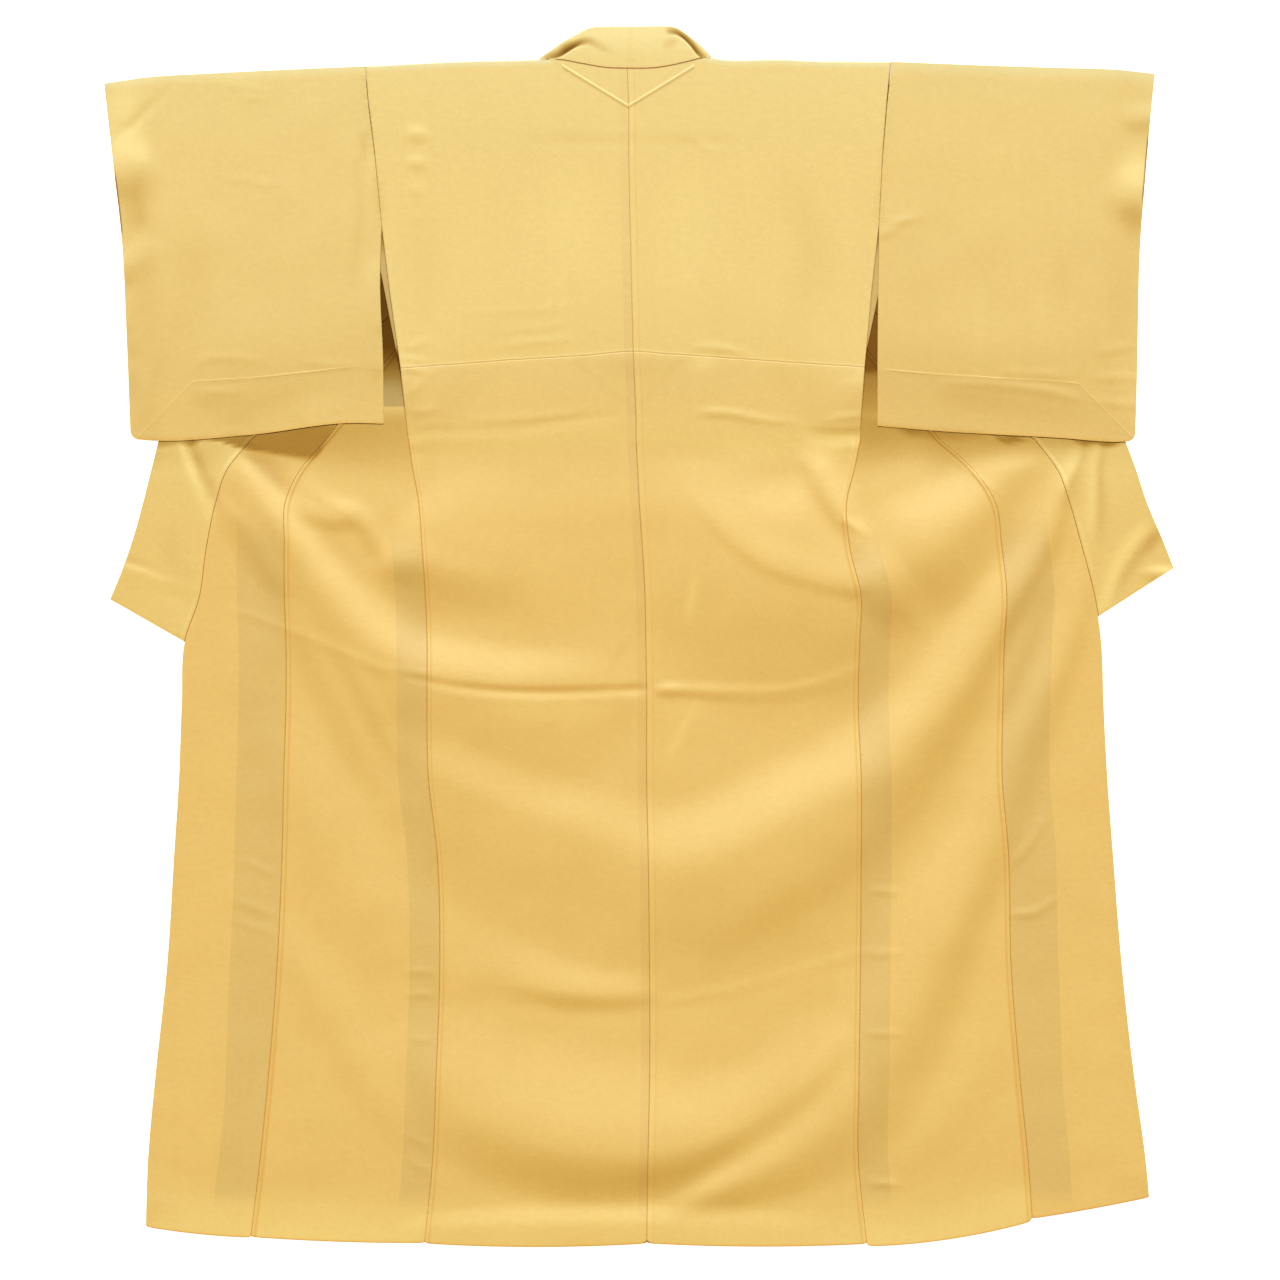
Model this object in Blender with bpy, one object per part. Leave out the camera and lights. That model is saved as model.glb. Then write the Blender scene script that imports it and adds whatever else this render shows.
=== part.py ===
# Kimono of plain silk, unlined, spread out on a flat surface with its back upwards.
# Metres, +Z up. X runs across the back and Y up its length, towards the collar.
# The origin is on the surface under the middle of the garment.
# Left and right are the wearer's, which lie at -X and +X.
#
# Both fronts are swung out sideways from under the back. Each one runs down from its shoulder
# with its face to the surface, is turned over along a slanting fold under the back, and comes
# out below the sleeve with its face up, as do the overlap and the collar sewn to its edge.

from collections import namedtuple

import bmesh
import bpy
import numpy as np

for old in list(bpy.data.objects):
    bpy.data.objects.remove(old, do_unlink=True)

# Driving sizes, in millimetres like every table below
MM = 0.001
WALL = 1.5
SEAM_GAP = 0.3
LAYER_GAP = 1.2
LAYER = WALL + LAYER_GAP
LEVEL_RAMP = 90.0
BRIDGE_TOP = 480.0
BRIDGE_BOTTOM = 180.0
SLEEVE_LIFT = 3.5
LIFT_TOP = 395.0
LIFT_BOTTOM = 275.0
TUCK_RISE = 0.9
COLLAR_ROLL = 4.0
CUFF_OPENING = 230.0

# How finely each piece is divided
BACK_COLUMNS = 10
FRONT_COLUMNS = 7
OVERLAP_COLUMNS = 4
COLLAR_COLUMNS = 3
SLEEVE_COLUMNS = 9
NECK_ROWS = 3
SKIRT_ROWS = 36
COLLAR_ROWS = {"left": 10, "right": 9}
HIDDEN_ROWS = 6
UNDERARM_ROWS = 5
SLEEVE_LOWER_ROWS = 6

SILK = (0.871, 0.660, 0.214, 1.0)
SILK_ROUGHNESS = 0.62

# The seams where they cross the skirt, from just below the sleeves down to the hem
Section = namedtuple(
    "Section",
    "y l_edge l_overlap l_side centre r_side r_overlap r_edge")
SKIRT = (
    Section(263, -519, -419, -308, -3, 297, 404, 531),
    Section(223, -551, -453, -302, -1, 289, 449, 561),
    Section(183, -565, -472, -295, 1, 279, 476, 576),
    Section(123, -578, -474, -290, 5, 282, 486, 593),
    Section(49, -589, -474, -285, 9, 298, 493, 612),
    Section(-7, -608, -472, -283, 10, 296, 490, 620),
    Section(-85, -612, -472, -283, 11, 294, 488, 621),
    Section(-192, -616, -475, -281, 11, 298, 487, 627),
    Section(-286, -622, -477, -270, 13, 298, 495, 634),
    Section(-443, -632, -484, -266, 15, 297, 499, 647),
    Section(-594, -648, -496, -271, 15, 295, 511, 664),
    Section(-695, -657, -506, -275, 13, 294, 521, 677),
    Section(-818, -661, -521, -287, 11, 306, 530, 688),
)
SKIRT_TOP = SKIRT[0].y
# Where each seam meets the hem, and how far the hem sags between two seams
HEM_Y = {"l_edge": -787, "l_overlap": -803, "l_side": -811, "centre": -811,
         "r_side": -813, "r_overlap": -777, "r_edge": -748}
HEM_SAG = {"back_left": 7.0, "back_right": 6.0, "front_left": 3.0, "front_right": 14.0,
           "overlap_left": 5.0, "overlap_right": 3.0}

# The back above the skirt: its two side edges, its centre seam, and the waist tuck,
# where the cloth is taken up and three layers lie on each other
Yoke = namedtuple("Yoke", "side_y l_side r_side centre_y centre tuck rows")
YOKE = (
    Yoke(756, -366, 338, 762, -15, 0, 1),
    Yoke(712, -362, 333, 714, -13, 0, 2),
    Yoke(641, -353, 327, 644, -13, 0, 3),
    Yoke(548, -344, 322, 549, -11, 0, 3),
    Yoke(458, -332, 312, 462, -9, 0, 3),
    Yoke(362, -317, 303, 384, -7, 0, 1),
    Yoke(358, -316, 302, 380, -7, 1, 2),
    Yoke(278, -308, 297, 292, -3, 1, 1),
    Yoke(274, -308, 297, 288, -3, 0, 1),
    Yoke(263, -308, 297, 263, -3, 0, 0),
)
ARMHOLE_ROWS = 6

# The top edge of the back: the shoulders and, between them, the neckline
TOP_EDGE = ((-366, 764), (-246, 770), (-133, 773), (-111, 774), (-74, 768), (-44, 763),
            (-15, 762), (25, 763), (62, 770), (89, 776), (113, 773), (190, 773),
            (257, 770), (338, 770))

# Each front is turned over along a line from the neck to the top of its side seam.
# neck is where the collar's seam starts, knee where it crosses the fold, and overlap_top
# where the pointed top of the overlap begins, with the collar's outer edge beside it.
# gap_edge is the front's free edge below the sleeve, which shows beside the back.
Turn = namedtuple("Turn", "sign neck neck_edge edge knee side overlap_top overlap_top_edge gap_edge")
TURNS = {
    "left": Turn(-1, (-112, 771), (-58, 761), (-60, 747), (-159, 585), (-314, 330),
                 (-199, 549), (-240, 598), ((-343, 491), (-327, 404))),
    "right": Turn(1, (90, 772), (46, 759), (45, 732), (131, 581), (294, 330),
                  (172, 549), (209, 605), ((319, 471), (309, 404))),
}
# The free edge of the collar from under the sleeve down to its end, and the end's inner corner
COLLAR_EDGE = {
    "left": ((-643, 263), (-653, 223), (-663, 183), (-680, 123), (-692, 89), (-708, 50)),
    "right": ((652, 263), (667, 223), (679, 183), (704, 123), (712, 105), (717, 92)),
}
COLLAR_END = {"left": (-608, -7), "right": (620, 27)}
OVERLAP_POINT_SHARE = 0.06

# The collar at the nape: its folded edge, which stands out past the neckline
NECK_FOLD = ((-131, 779), (-104, 797), (-88, 807), (-68, 815), (-11, 819), (45, 817),
             (62, 806), (80, 792), (94, 783))

# The four edges of each sleeve, all run from the shoulder down or from the cuff inwards
SleeveEdges = namedtuple("SleeveEdges", "top outer bottom inner")
SLEEVES = {
    "left": SleeveEdges(
        ((-716, 741), (-660, 749), (-581, 754), (-502, 758), (-366, 764)),
        ((-716, 741), (-712, 714), (-701, 627), (-692, 534), (-685, 404), (-679, 272)),
        ((-679, 272), (-664, 262), (-524, 270), (-380, 286), (-341, 285)),
        ((-344, 548), (-346, 476), (-342, 369), (-341, 285))),
    "right": SleeveEdges(
        ((692, 754), (645, 759), (558, 762), (494, 764), (338, 770)),
        ((692, 754), (688, 727), (679, 645), (671, 530), (667, 350), (665, 270)),
        ((665, 270), (652, 260), (566, 265), (405, 275), (326, 282)),
        ((322, 551), (321, 476), (320, 369), (320, 282))),
}

# The largest folds: soft ridges along a route that runs towards +X, with the width of the
# slope above and below it. A swag hangs between the two sides, pulled out by the spread fronts.
Fold = namedtuple("Fold", "height above below route")
FOLDS = {
    "crease swag": Fold(9, 62, 40, (
        (-534, 230), (-468, 140), (-401, 56), (-334, -12), (-281, -44), (-223, -58),
        (-157, -65), (-65, -69), (60, -72), (194, -68), (290, -44))),
    "hip swag": Fold(10, 80, 52, (
        (-279, -195), (-145, -249), (2, -299), (108, -282), (198, -248), (286, -199),
        (353, -132), (420, -48), (472, 36), (530, 123), (575, 210))),
    "hem swag": Fold(11, 85, 42, (
        (-279, -568), (-202, -628), (-112, -668), (-46, -685), (11, -688), (56, -672),
        (113, -637), (183, -588), (257, -514))),
    "side swag": Fold(8, 55, 45, (
        (49, -748), (91, -730), (160, -696), (234, -655), (289, -625), (344, -547),
        (384, -474), (424, -393), (464, -302), (500, -206), (538, -85), (567, 0),
        (598, 89))),
    "seat crease": Fold(5, 50, 30, (
        (-266, -400), (-202, -431), (-135, -466), (-68, -480), (9, -479))),
    "right waist": Fold(5, 75, 60, (
        (50, 150), (136, 103), (216, 65), (290, 49))),
    "right front": Fold(6, 60, 34, (
        (299, 49), (350, 69), (397, 123), (451, 176), (504, 223))),
    "left front": Fold(5, 50, 45, (
        (-474, -206), (-427, -286), (-401, -333), (-334, -427), (-293, -474))),
    "left front low": Fold(4, 40, 40, (
        (-475, -393), (-424, -474), (-379, -541), (-313, -628), (-279, -688))),
}
FOLDS_START = 255.0
FOLDS_FULL = 195.0
FOLD_ENDS = 0.16
FOLD_STEPS = 4


# Curves through a few points

def smooth_step(value):
    value = np.clip(value, 0.0, 1.0)
    return value * value * (3.0 - 2.0 * value)


def hermite(knots, values, at):
    """Smooth curve through values at rising knots, read at the places in at."""
    knots = np.asarray(knots, float)
    values = np.asarray(values, float)
    slopes = np.gradient(values, knots, axis=0)
    at = np.clip(np.asarray(at, float), knots[0], knots[-1])
    left = np.clip(np.searchsorted(knots, at, side="right") - 1, 0, len(knots) - 2)
    width = knots[left + 1] - knots[left]
    t = (at - knots[left]) / width
    if values.ndim == 2:
        t = t[:, None]
        width = width[:, None]
    return ((2 * t**3 - 3 * t**2 + 1) * values[left] + (t**3 - 2 * t**2 + t) * width * slopes[left]
            + (3 * t**2 - 2 * t**3) * values[left + 1] + (t**3 - t**2) * width * slopes[left + 1])


def lengths(points):
    """Share of the way along a line of points, from 0 to 1, at each point."""
    steps = np.linalg.norm(np.diff(points, axis=0), axis=1)
    along = np.concatenate(([0.0], np.cumsum(steps)))
    return along / along[-1]


def route(points, shares):
    """Points at the given shares of the way along a smooth curve through points."""
    points = np.asarray(points, float)
    return hermite(lengths(points), points, shares)


def blend(first, last, count):
    """Rows of points from the curve first to the curve last, count steps apart."""
    share = np.linspace(0.0, 1.0, count + 1)[None, :, None]
    return first[:, None, :] * (1.0 - share) + last[:, None, :] * share


def inset(edge, inside, distance):
    """The line edge moved square to itself by distance, to the side where inside lies."""
    along = np.gradient(edge, axis=0)
    square = np.stack((-along[:, 1], along[:, 0]), axis=1)
    square /= np.linalg.norm(square, axis=1, keepdims=True)
    side = np.sign(np.sum(square * (inside - edge), axis=1, keepdims=True))
    return edge + square * side * distance


def part_at_seams(plan):
    """A panel's plan, drawn back from its two long edges by half the gap of a seam."""
    plan = plan.copy()
    first = inset(plan[:, 0], plan[:, 1], SEAM_GAP / 2)
    last = inset(plan[:, -1], plan[:, -2], SEAM_GAP / 2)
    plan[:, 0] = first
    plan[:, -1] = last
    return plan


def ease_knee(hanging, turned, knee, beside):
    """Draw the corner where a panel is turned over back along the fold, clear of its neighbour."""
    for row in (hanging[-1], turned[0]):
        run = row[beside] - row[knee]
        row[knee] += run * SEAM_GAP / np.linalg.norm(run)


# Heights above the surface

def distance_beside(x, y, start, end):
    """Distance of (x, y) from the line start to end, positive on its left-hand side."""
    run_x = end[0] - start[0]
    run_y = end[1] - start[1]
    return (run_x * (y - start[1]) - run_y * (x - start[0])) / np.hypot(run_x, run_y)


def hanging_cover(turn, x, y):
    """1 where a front still hangs face down under the back, falling softly to 0 beside it."""
    beyond = -turn.sign * distance_beside(x, y, turn.edge, turn.side)
    return smooth_step(1.0 - beyond / LEVEL_RAMP)


def turned_cover(x, y):
    """1 where a turned front or collar lies on the surface, falling softly to 0 beside it."""
    cover = np.zeros_like(x)
    for side, turn in TURNS.items():
        outside = turn.sign * distance_beside(x, y, turn.edge, COLLAR_EDGE[side][0])
        cover = np.maximum(cover, smooth_step(1.0 - outside / LEVEL_RAMP) * hanging_cover(turn, x, y))
    return cover


def back_cover(x, y):
    """1 where the back lies flat over the hidden layers, falling softly to 0 in the skirt."""
    bare = 1.0 - smooth_step((y - BRIDGE_BOTTOM) / (BRIDGE_TOP - BRIDGE_BOTTOM))
    for turn in TURNS.values():
        bare = bare * (1.0 - hanging_cover(turn, x, y))
    return 1.0 - bare


def fold_height(x, y):
    """Height of the cloth's underside where the folds lift it."""
    total = np.zeros_like(x)
    for fold in FOLDS.values():
        points = route(fold.route, np.linspace(0.0, 1.0, FOLD_STEPS * len(fold.route)))
        start = points[:-1]
        run = points[1:] - start
        to_point = np.stack((x, y), axis=-1)[..., None, :] - start
        share = np.clip(np.sum(to_point * run, axis=-1) / np.sum(run * run, axis=-1), 0.0, 1.0)
        offset = to_point - share[..., None] * run
        distance = np.linalg.norm(offset, axis=-1)
        nearest = np.argmin(distance, axis=-1)[..., None]
        away = np.take_along_axis(distance, nearest, axis=-1)[..., 0]
        across = run[:, 0] * to_point[..., 1] - run[:, 1] * to_point[..., 0]
        across = np.take_along_axis(across, nearest, axis=-1)[..., 0]
        along = (np.take_along_axis(share, nearest, axis=-1)[..., 0] + nearest[..., 0]) / len(run)
        width = np.where(across > 0.0, fold.above, fold.below)
        ends = smooth_step(along / FOLD_ENDS) * smooth_step((1.0 - along) / FOLD_ENDS)
        total += fold.height * ends * smooth_step(1.0 - away / width)
    return total * smooth_step((FOLDS_START - y) / (FOLDS_START - FOLDS_FULL))


def lowest_level(plan):
    """Underside of a layer that lies on the surface, where only the folds lift it."""
    return fold_height(plan[..., 0], plan[..., 1])


def middle_level(plan):
    """Underside of a layer that lies on the turned fronts."""
    return lowest_level(plan) + LAYER * turned_cover(plan[..., 0], plan[..., 1])


def top_level(plan):
    """Underside of the back, which covers two layers down to the waist."""
    return lowest_level(plan) + 2.0 * LAYER * back_cover(plan[..., 0], plan[..., 1])


# Closed solids from grids of points

def raised(plan, z):
    return np.concatenate((plan, z[..., None]), axis=-1)


def new_object(name, mesh, place):
    material = bpy.data.materials.new(name + "_silk")
    material.use_nodes = True
    shader = material.node_tree.nodes["Principled BSDF"]
    shader.inputs["Base Color"].default_value = SILK
    shader.inputs["Roughness"].default_value = SILK_ROUGHNESS
    shader.inputs["Metallic"].default_value = 0.0
    mesh.materials.append(material)
    mesh.shade_smooth()
    mesh.set_sharp_from_angle(angle=0.7)
    piece = bpy.data.objects.new(name, mesh)
    piece.location = place
    piece.parent = kimono
    bpy.context.scene.collection.objects.link(piece)
    return piece


def solid_from(name, skins, faces):
    """One object from lists of points and faces; its origin is at its first point."""
    points = np.concatenate([skin.reshape(-1, 3) for skin in skins]) * MM
    place = points[0]
    work = bmesh.new()
    corners = [work.verts.new(point - place) for point in points]
    for face in faces:
        work.faces.new([corners[index] for index in face])
    bmesh.ops.recalc_face_normals(work, faces=work.faces)
    bmesh.ops.triangulate(work, faces=work.faces, quad_method="FIXED")
    mesh = bpy.data.meshes.new(name)
    work.to_mesh(mesh)
    work.free()
    return new_object(name, mesh, place)


def grid_faces(rows, columns, start):
    faces = []
    for row in range(rows - 1):
        for column in range(columns - 1):
            corner = start + row * columns + column
            faces.append((corner, corner + 1, corner + columns + 1, corner + columns))
    return faces


def rim_places(rows, columns):
    """Indexes of a grid's border, once round."""
    top = [column for column in range(columns)]
    right = [row * columns + columns - 1 for row in range(1, rows)]
    bottom = [(rows - 1) * columns + column for column in range(columns - 2, -1, -1)]
    left = [row * columns for row in range(rows - 2, 0, -1)]
    return top + right + bottom + left


def sheet(name, one_side, other_side):
    """A wall of cloth between two grids of points, closed all round its edge."""
    rows, columns = one_side.shape[:2]
    count = rows * columns
    faces = grid_faces(rows, columns, 0) + grid_faces(rows, columns, count)
    rim = rim_places(rows, columns)
    for here, after in zip(rim, rim[1:] + rim[:1]):
        faces.append((here, after, after + count, here + count))
    return solid_from(name, (one_side, other_side), faces)


def flat_sheet(name, plan, underside, extra=0.0):
    return sheet(name, raised(plan, underside), raised(plan, underside + WALL + extra))


# The seams, read from the tables

def seam(name, share):
    """Points of a seam at the given shares of the way from the sleeves down to the hem."""
    y = SKIRT_TOP + np.asarray(share) * (HEM_Y[name] - SKIRT_TOP)
    heights = [section.y for section in reversed(SKIRT)]
    places = [getattr(section, name) for section in reversed(SKIRT)]
    return np.stack((hermite(heights, places, y), y), axis=-1)


def skirt_plan(first, last, columns, sag):
    share = np.linspace(0.0, 1.0, SKIRT_ROWS + 1)
    plan = blend(seam(first, share), seam(last, share), columns)
    across = np.sin(np.pi * np.linspace(0.0, 1.0, columns + 1))
    plan[..., 1] -= sag * share[:, None] ** 4 * across
    return plan


def yoke_points(x_name, y_name):
    """Points down one edge of the yoke, with each section divided into its rows."""
    points = []
    for upper, lower in zip(YOKE, YOKE[1:]):
        start = np.array((getattr(upper, x_name), getattr(upper, y_name)), float)
        end = np.array((getattr(lower, x_name), getattr(lower, y_name)), float)
        points += [start + (end - start) * step / upper.rows for step in range(upper.rows)]
    return np.array(points + [end])


def armhole_points(side):
    """Where the sleeve is sewn to the body, from the shoulder down."""
    points = yoke_points(side[0] + "_side", "side_y")[:ARMHOLE_ROWS + 1]
    points[0, 1] = shoulder_height(points[0, 0])
    return points


def shoulder_height(x):
    top_x, top_y = np.array(TOP_EDGE, float).T
    return np.interp(x, top_x, top_y)


def tuck_rows():
    """Share of the tuck's thickness at each row of the yoke."""
    shares = []
    for upper, lower in zip(YOKE, YOKE[1:]):
        shares += [float(upper.tuck)] * upper.rows
    return np.array(shares + [0.0])


# The pieces

def make_back(side):
    """One length of cloth from the shoulder to the hem, sewn to its twin down the centre."""
    letter = side[0] + "_side"
    centre = yoke_points("centre", "centre_y")
    edge = yoke_points(letter, "side_y")
    yoke = blend(edge, centre, BACK_COLUMNS)
    yoke[0, :, 1] = shoulder_height(yoke[0, :, 0])
    skirt = skirt_plan(letter, "centre", BACK_COLUMNS, HEM_SAG["back_" + side])
    plan = part_at_seams(np.concatenate((yoke[:-1], skirt)))
    tuck = np.zeros(len(plan))
    tuck[:len(yoke)] = tuck_rows()
    return flat_sheet("back_" + side, plan, top_level(plan), TUCK_RISE * tuck[:, None])


def turned_sheet(name, hanging, turned):
    """A sheet that hangs face down, is turned over along a fold, and lies face up below it."""
    hanging_z = middle_level(hanging)
    turned_z = lowest_level(turned)
    fold = turned[0]
    nose = inset(fold, hanging[-2], -WALL)
    face = np.concatenate((
        raised(hanging, hanging_z),
        raised(fold, turned_z[0] + WALL + LAYER_GAP / 2)[None],
        raised(turned, turned_z + WALL)))
    reverse = np.concatenate((
        raised(hanging, hanging_z + WALL),
        raised(nose, turned_z[0] + WALL + LAYER_GAP / 2)[None],
        raised(turned, turned_z)))
    return sheet(name, face, reverse)


def make_front(side):
    """The front of one side, from the shoulder to the hem, turned over under the back."""
    turn = TURNS[side]
    armhole = armhole_points(side)
    below_armhole = route((armhole[-1], *turn.gap_edge, turn.side),
                          np.linspace(0.0, 1.0, UNDERARM_ROWS + 1))
    outer = np.concatenate((armhole, below_armhole[1:]))
    inner = route((turn.neck, turn.knee), lengths(outer))
    hanging = part_at_seams(blend(outer, inner, FRONT_COLUMNS))
    sag = HEM_SAG["front_" + side]
    skirt = skirt_plan(side[0] + "_side", side[0] + "_overlap", FRONT_COLUMNS, sag)
    hidden_share = np.linspace(0.0, 1.0, HIDDEN_ROWS + 1)
    down_side = route((turn.side, skirt[0, 0]), np.linspace(0.0, 1.0, HIDDEN_ROWS + 2))
    down_overlap = np.concatenate(([turn.knee], route((turn.overlap_top, skirt[0, -1]), hidden_share)))
    hidden = blend(down_side, down_overlap, FRONT_COLUMNS)
    turned = part_at_seams(np.concatenate((hidden[:-1], skirt)))
    ease_knee(hanging, turned, -1, -2)
    return turned_sheet("front_" + side, hanging, turned)


def make_overlap(side):
    """The narrow panel sewn to the front's edge, pointed at the top where the collar cuts it."""
    turn = TURNS[side]
    sag = HEM_SAG["overlap_" + side]
    skirt = skirt_plan(side[0] + "_overlap", side[0] + "_edge", OVERLAP_COLUMNS, sag)
    share = np.linspace(0.0, 1.0, HIDDEN_ROWS + 1)
    share[0] = OVERLAP_POINT_SHARE
    inner = route((turn.overlap_top, skirt[0, 0]), share)
    outer = route((turn.overlap_top, skirt[0, -1]), share)
    hidden = blend(inner, outer, OVERLAP_COLUMNS)
    plan = part_at_seams(np.concatenate((hidden[:-1], skirt)))
    return flat_sheet("overlap_" + side, plan, lowest_level(plan))


def make_collar_run(side):
    """The collar from the nape to its end, full width where it comes out below the sleeve."""
    turn = TURNS[side]
    share = np.linspace(0.0, 1.0, SKIRT_ROWS + 1)[:COLLAR_ROWS[side]]
    seam_run = np.concatenate((seam(side[0] + "_edge", share), [COLLAR_END[side]]))
    edge_run = route(COLLAR_EDGE[side], np.linspace(0.0, 1.0, len(seam_run)))
    hidden_share = np.linspace(0.0, 1.0, HIDDEN_ROWS + 1)
    seam_hidden = route((turn.overlap_top, seam_run[0]), hidden_share)[:-1]
    edge_hidden = route((turn.overlap_top_edge, edge_run[0]), hidden_share)[:-1]
    seam_line = np.concatenate(([turn.knee], seam_hidden, seam_run))
    edge_line = np.concatenate(([turn.edge], edge_hidden, edge_run))
    turned = part_at_seams(blend(seam_line, edge_line, COLLAR_COLUMNS))
    seam_top = np.array((turn.neck, turn.knee), float)
    edge_top = np.array((turn.neck_edge, turn.edge), float)
    hanging = part_at_seams(blend(seam_top, edge_top, COLLAR_COLUMNS))
    ease_knee(hanging, turned, 0, 1)
    return turned_sheet("collar_" + side, hanging, turned)


def make_collar_neck():
    """The collar at the nape, folded in half, with its fold standing out past the shoulders."""
    fold_x, fold_y = np.array(NECK_FOLD, float).T
    back_x = np.concatenate([
        np.linspace(YOKE[0].l_side, YOKE[0].centre, BACK_COLUMNS + 1)[:-1],
        np.linspace(YOKE[0].centre, YOKE[0].r_side, BACK_COLUMNS + 1)])
    between = back_x[(back_x > fold_x[0]) & (back_x < fold_x[-1])]
    ends = np.concatenate((fold_x[:1], between, fold_x[-1:]))
    x = np.sort(np.concatenate((ends, (ends[1:] + ends[:-1]) / 2)))
    seam_y = np.interp(x, back_x, shoulder_height(back_x)) + SEAM_GAP
    seam_line = np.stack((x, seam_y), axis=-1)
    fold_line = np.stack((x, hermite(fold_x, fold_y, x)), axis=-1)
    half = blend(seam_line, fold_line, NECK_ROWS).transpose(1, 0, 2)
    share = (x - x[0]) / (x[-1] - x[0])
    roll = np.sin(np.pi * share)[None, :] * np.linspace(0.0, 1.0, NECK_ROWS + 1)[:, None]
    under_z = np.full(half.shape[:2], LAYER)
    upper_z = under_z + LAYER + COLLAR_ROLL * roll
    middle_z = (under_z[-1] + WALL + upper_z[-1]) / 2
    nose = inset(half[-1], half[-2], -WALL)
    inside = np.concatenate((
        raised(half, under_z + WALL),
        raised(half[-1], middle_z)[None],
        raised(half, upper_z)[::-1]))
    outside = np.concatenate((
        raised(half, under_z),
        raised(nose, middle_z)[None],
        raised(half, upper_z + WALL)[::-1]))
    return sheet("collar_neck", inside, outside)


def sleeve_plan(side):
    """Plan of a sleeve, rows from the shoulder down and columns from the cuff inwards."""
    edges = SLEEVES[side]
    armhole = armhole_points(side)
    lower = route(edges.inner, np.linspace(0.0, 1.0, SLEEVE_LOWER_ROWS + 1))
    inner = np.concatenate((armhole, lower[1:]))
    down = lengths(inner)
    across = np.linspace(0.0, 1.0, SLEEVE_COLUMNS + 1)
    outer = route(edges.outer, down)
    top = route(edges.top, across)
    bottom = route(edges.bottom, across)
    rows = down[:, None, None]
    columns = across[None, :, None]
    corners = ((1 - rows) * ((1 - columns) * top[0] + columns * top[-1])
               + rows * ((1 - columns) * bottom[0] + columns * bottom[-1]))
    plan = ((1 - rows) * top[None] + rows * bottom[None]
            + (1 - columns) * outer[:, None] + columns * inner[:, None] - corners)
    plan[:, -1] = inset(plan[:, -1], plan[:, -2], SEAM_GAP / 2)
    return plan


def make_sleeve(side):
    """One length folded at the shoulder: a flat tube, open at the body and at the cuff."""
    plan = sleeve_plan(side)
    rows, columns = plan.shape[:2]
    lining = plan.copy()
    lining[0] = inset(plan[0], plan[1], WALL)
    lining[-1] = inset(plan[-1], plan[-2], WALL)
    cuff_end = plan[0, 0, 1] - CUFF_OPENING
    shut = plan[:, 0, 1] <= cuff_end
    cuff_inset = inset(plan[:, 0], plan[:, 1], WALL)
    lining[1:-1, 0] = np.where(shut[1:-1, None], cuff_inset[1:-1], plan[1:-1, 0])
    lift = SLEEVE_LIFT * smooth_step((LIFT_TOP - plan[..., 1]) / (LIFT_TOP - LIFT_BOTTOM))
    top_z = 2.0 * LAYER + lift
    skins = (raised(plan, middle_level(plan) + lift),
             raised(lining, middle_level(lining) + WALL + lift),
             raised(lining, top_z), raised(plan, top_z + WALL))
    count = rows * columns
    faces = []
    for index in range(len(skins)):
        faces += grid_faces(rows, columns, index * count)
    rim = rim_places(rows, columns)
    after = rim[1:] + rim[:1]
    is_open = [opens(here, there, columns, shut) for here, there in zip(rim, after)]
    for here, there, free in zip(rim, after, is_open):
        bands = ((0, 1), (2, 3)) if free else ((0, 3), (1, 2))
        for low, high in bands:
            faces.append((here + low * count, there + low * count,
                          there + high * count, here + high * count))
    for position, here in enumerate(rim):
        if is_open[position] != is_open[position - 1]:
            faces.append(tuple(here + index * count for index in range(len(skins))))
    return solid_from("sleeve_" + side, skins, faces)


def opens(here, there, columns, shut):
    """Whether the stretch of a sleeve's border between two places is left open."""
    both_inner = here % columns == columns - 1 and there % columns == columns - 1
    both_outer = here % columns == 0 and there % columns == 0
    at_cuff = both_outer and not shut[max(here, there) // columns]
    return both_inner or at_cuff


kimono = bpy.data.objects.new("kimono", None)
bpy.context.scene.collection.objects.link(kimono)
for each_side in ("left", "right"):
    make_back(each_side)
    make_front(each_side)
    make_overlap(each_side)
    make_collar_run(each_side)
    make_sleeve(each_side)
make_collar_neck()
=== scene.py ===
from collections import namedtuple

import bmesh
import bpy
import numpy as np
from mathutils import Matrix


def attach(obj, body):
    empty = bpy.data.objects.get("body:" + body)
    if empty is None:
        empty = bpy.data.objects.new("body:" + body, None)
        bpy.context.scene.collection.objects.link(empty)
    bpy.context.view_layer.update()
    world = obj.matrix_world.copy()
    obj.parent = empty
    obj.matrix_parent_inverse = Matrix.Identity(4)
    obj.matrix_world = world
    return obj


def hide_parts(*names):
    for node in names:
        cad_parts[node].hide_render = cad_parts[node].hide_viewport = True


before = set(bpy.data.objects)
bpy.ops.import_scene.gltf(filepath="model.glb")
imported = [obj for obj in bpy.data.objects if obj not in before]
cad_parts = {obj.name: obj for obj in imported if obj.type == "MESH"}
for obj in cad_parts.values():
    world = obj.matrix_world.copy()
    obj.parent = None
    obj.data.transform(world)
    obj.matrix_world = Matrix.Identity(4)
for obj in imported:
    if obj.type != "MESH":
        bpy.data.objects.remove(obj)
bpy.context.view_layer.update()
bpy.ops.object.select_all(action="DESELECT")


# The two backs
# Each is one length of plain unlined silk crepe from the shoulder down to the hem. They are sewn
# together down the middle with a tiny pressed fold, and a tuck taken up across the waist holds
# the spare length. The folds of the skirt run across every piece, so they are set out here.

# Sizes are in millimetres: X to the right, Y up towards the collar.
MM = 0.001
CLOTH = 0.45
CLOTH_LIFT = 0.2
SEAM_GAP = 0.02
LAYER = 2.7
LEVEL_RAMP = 90.0
BRIDGE_TOP = 480.0
BRIDGE_BOTTOM = 180.0
ROW_STEP = 4.0
COLUMN_STEP = 4.2
EDGE_STEPS = (0.0, 0.6, 1.3, 2.1, 3.2, 4.6, 6.4, 9.0, 12.5)

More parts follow.
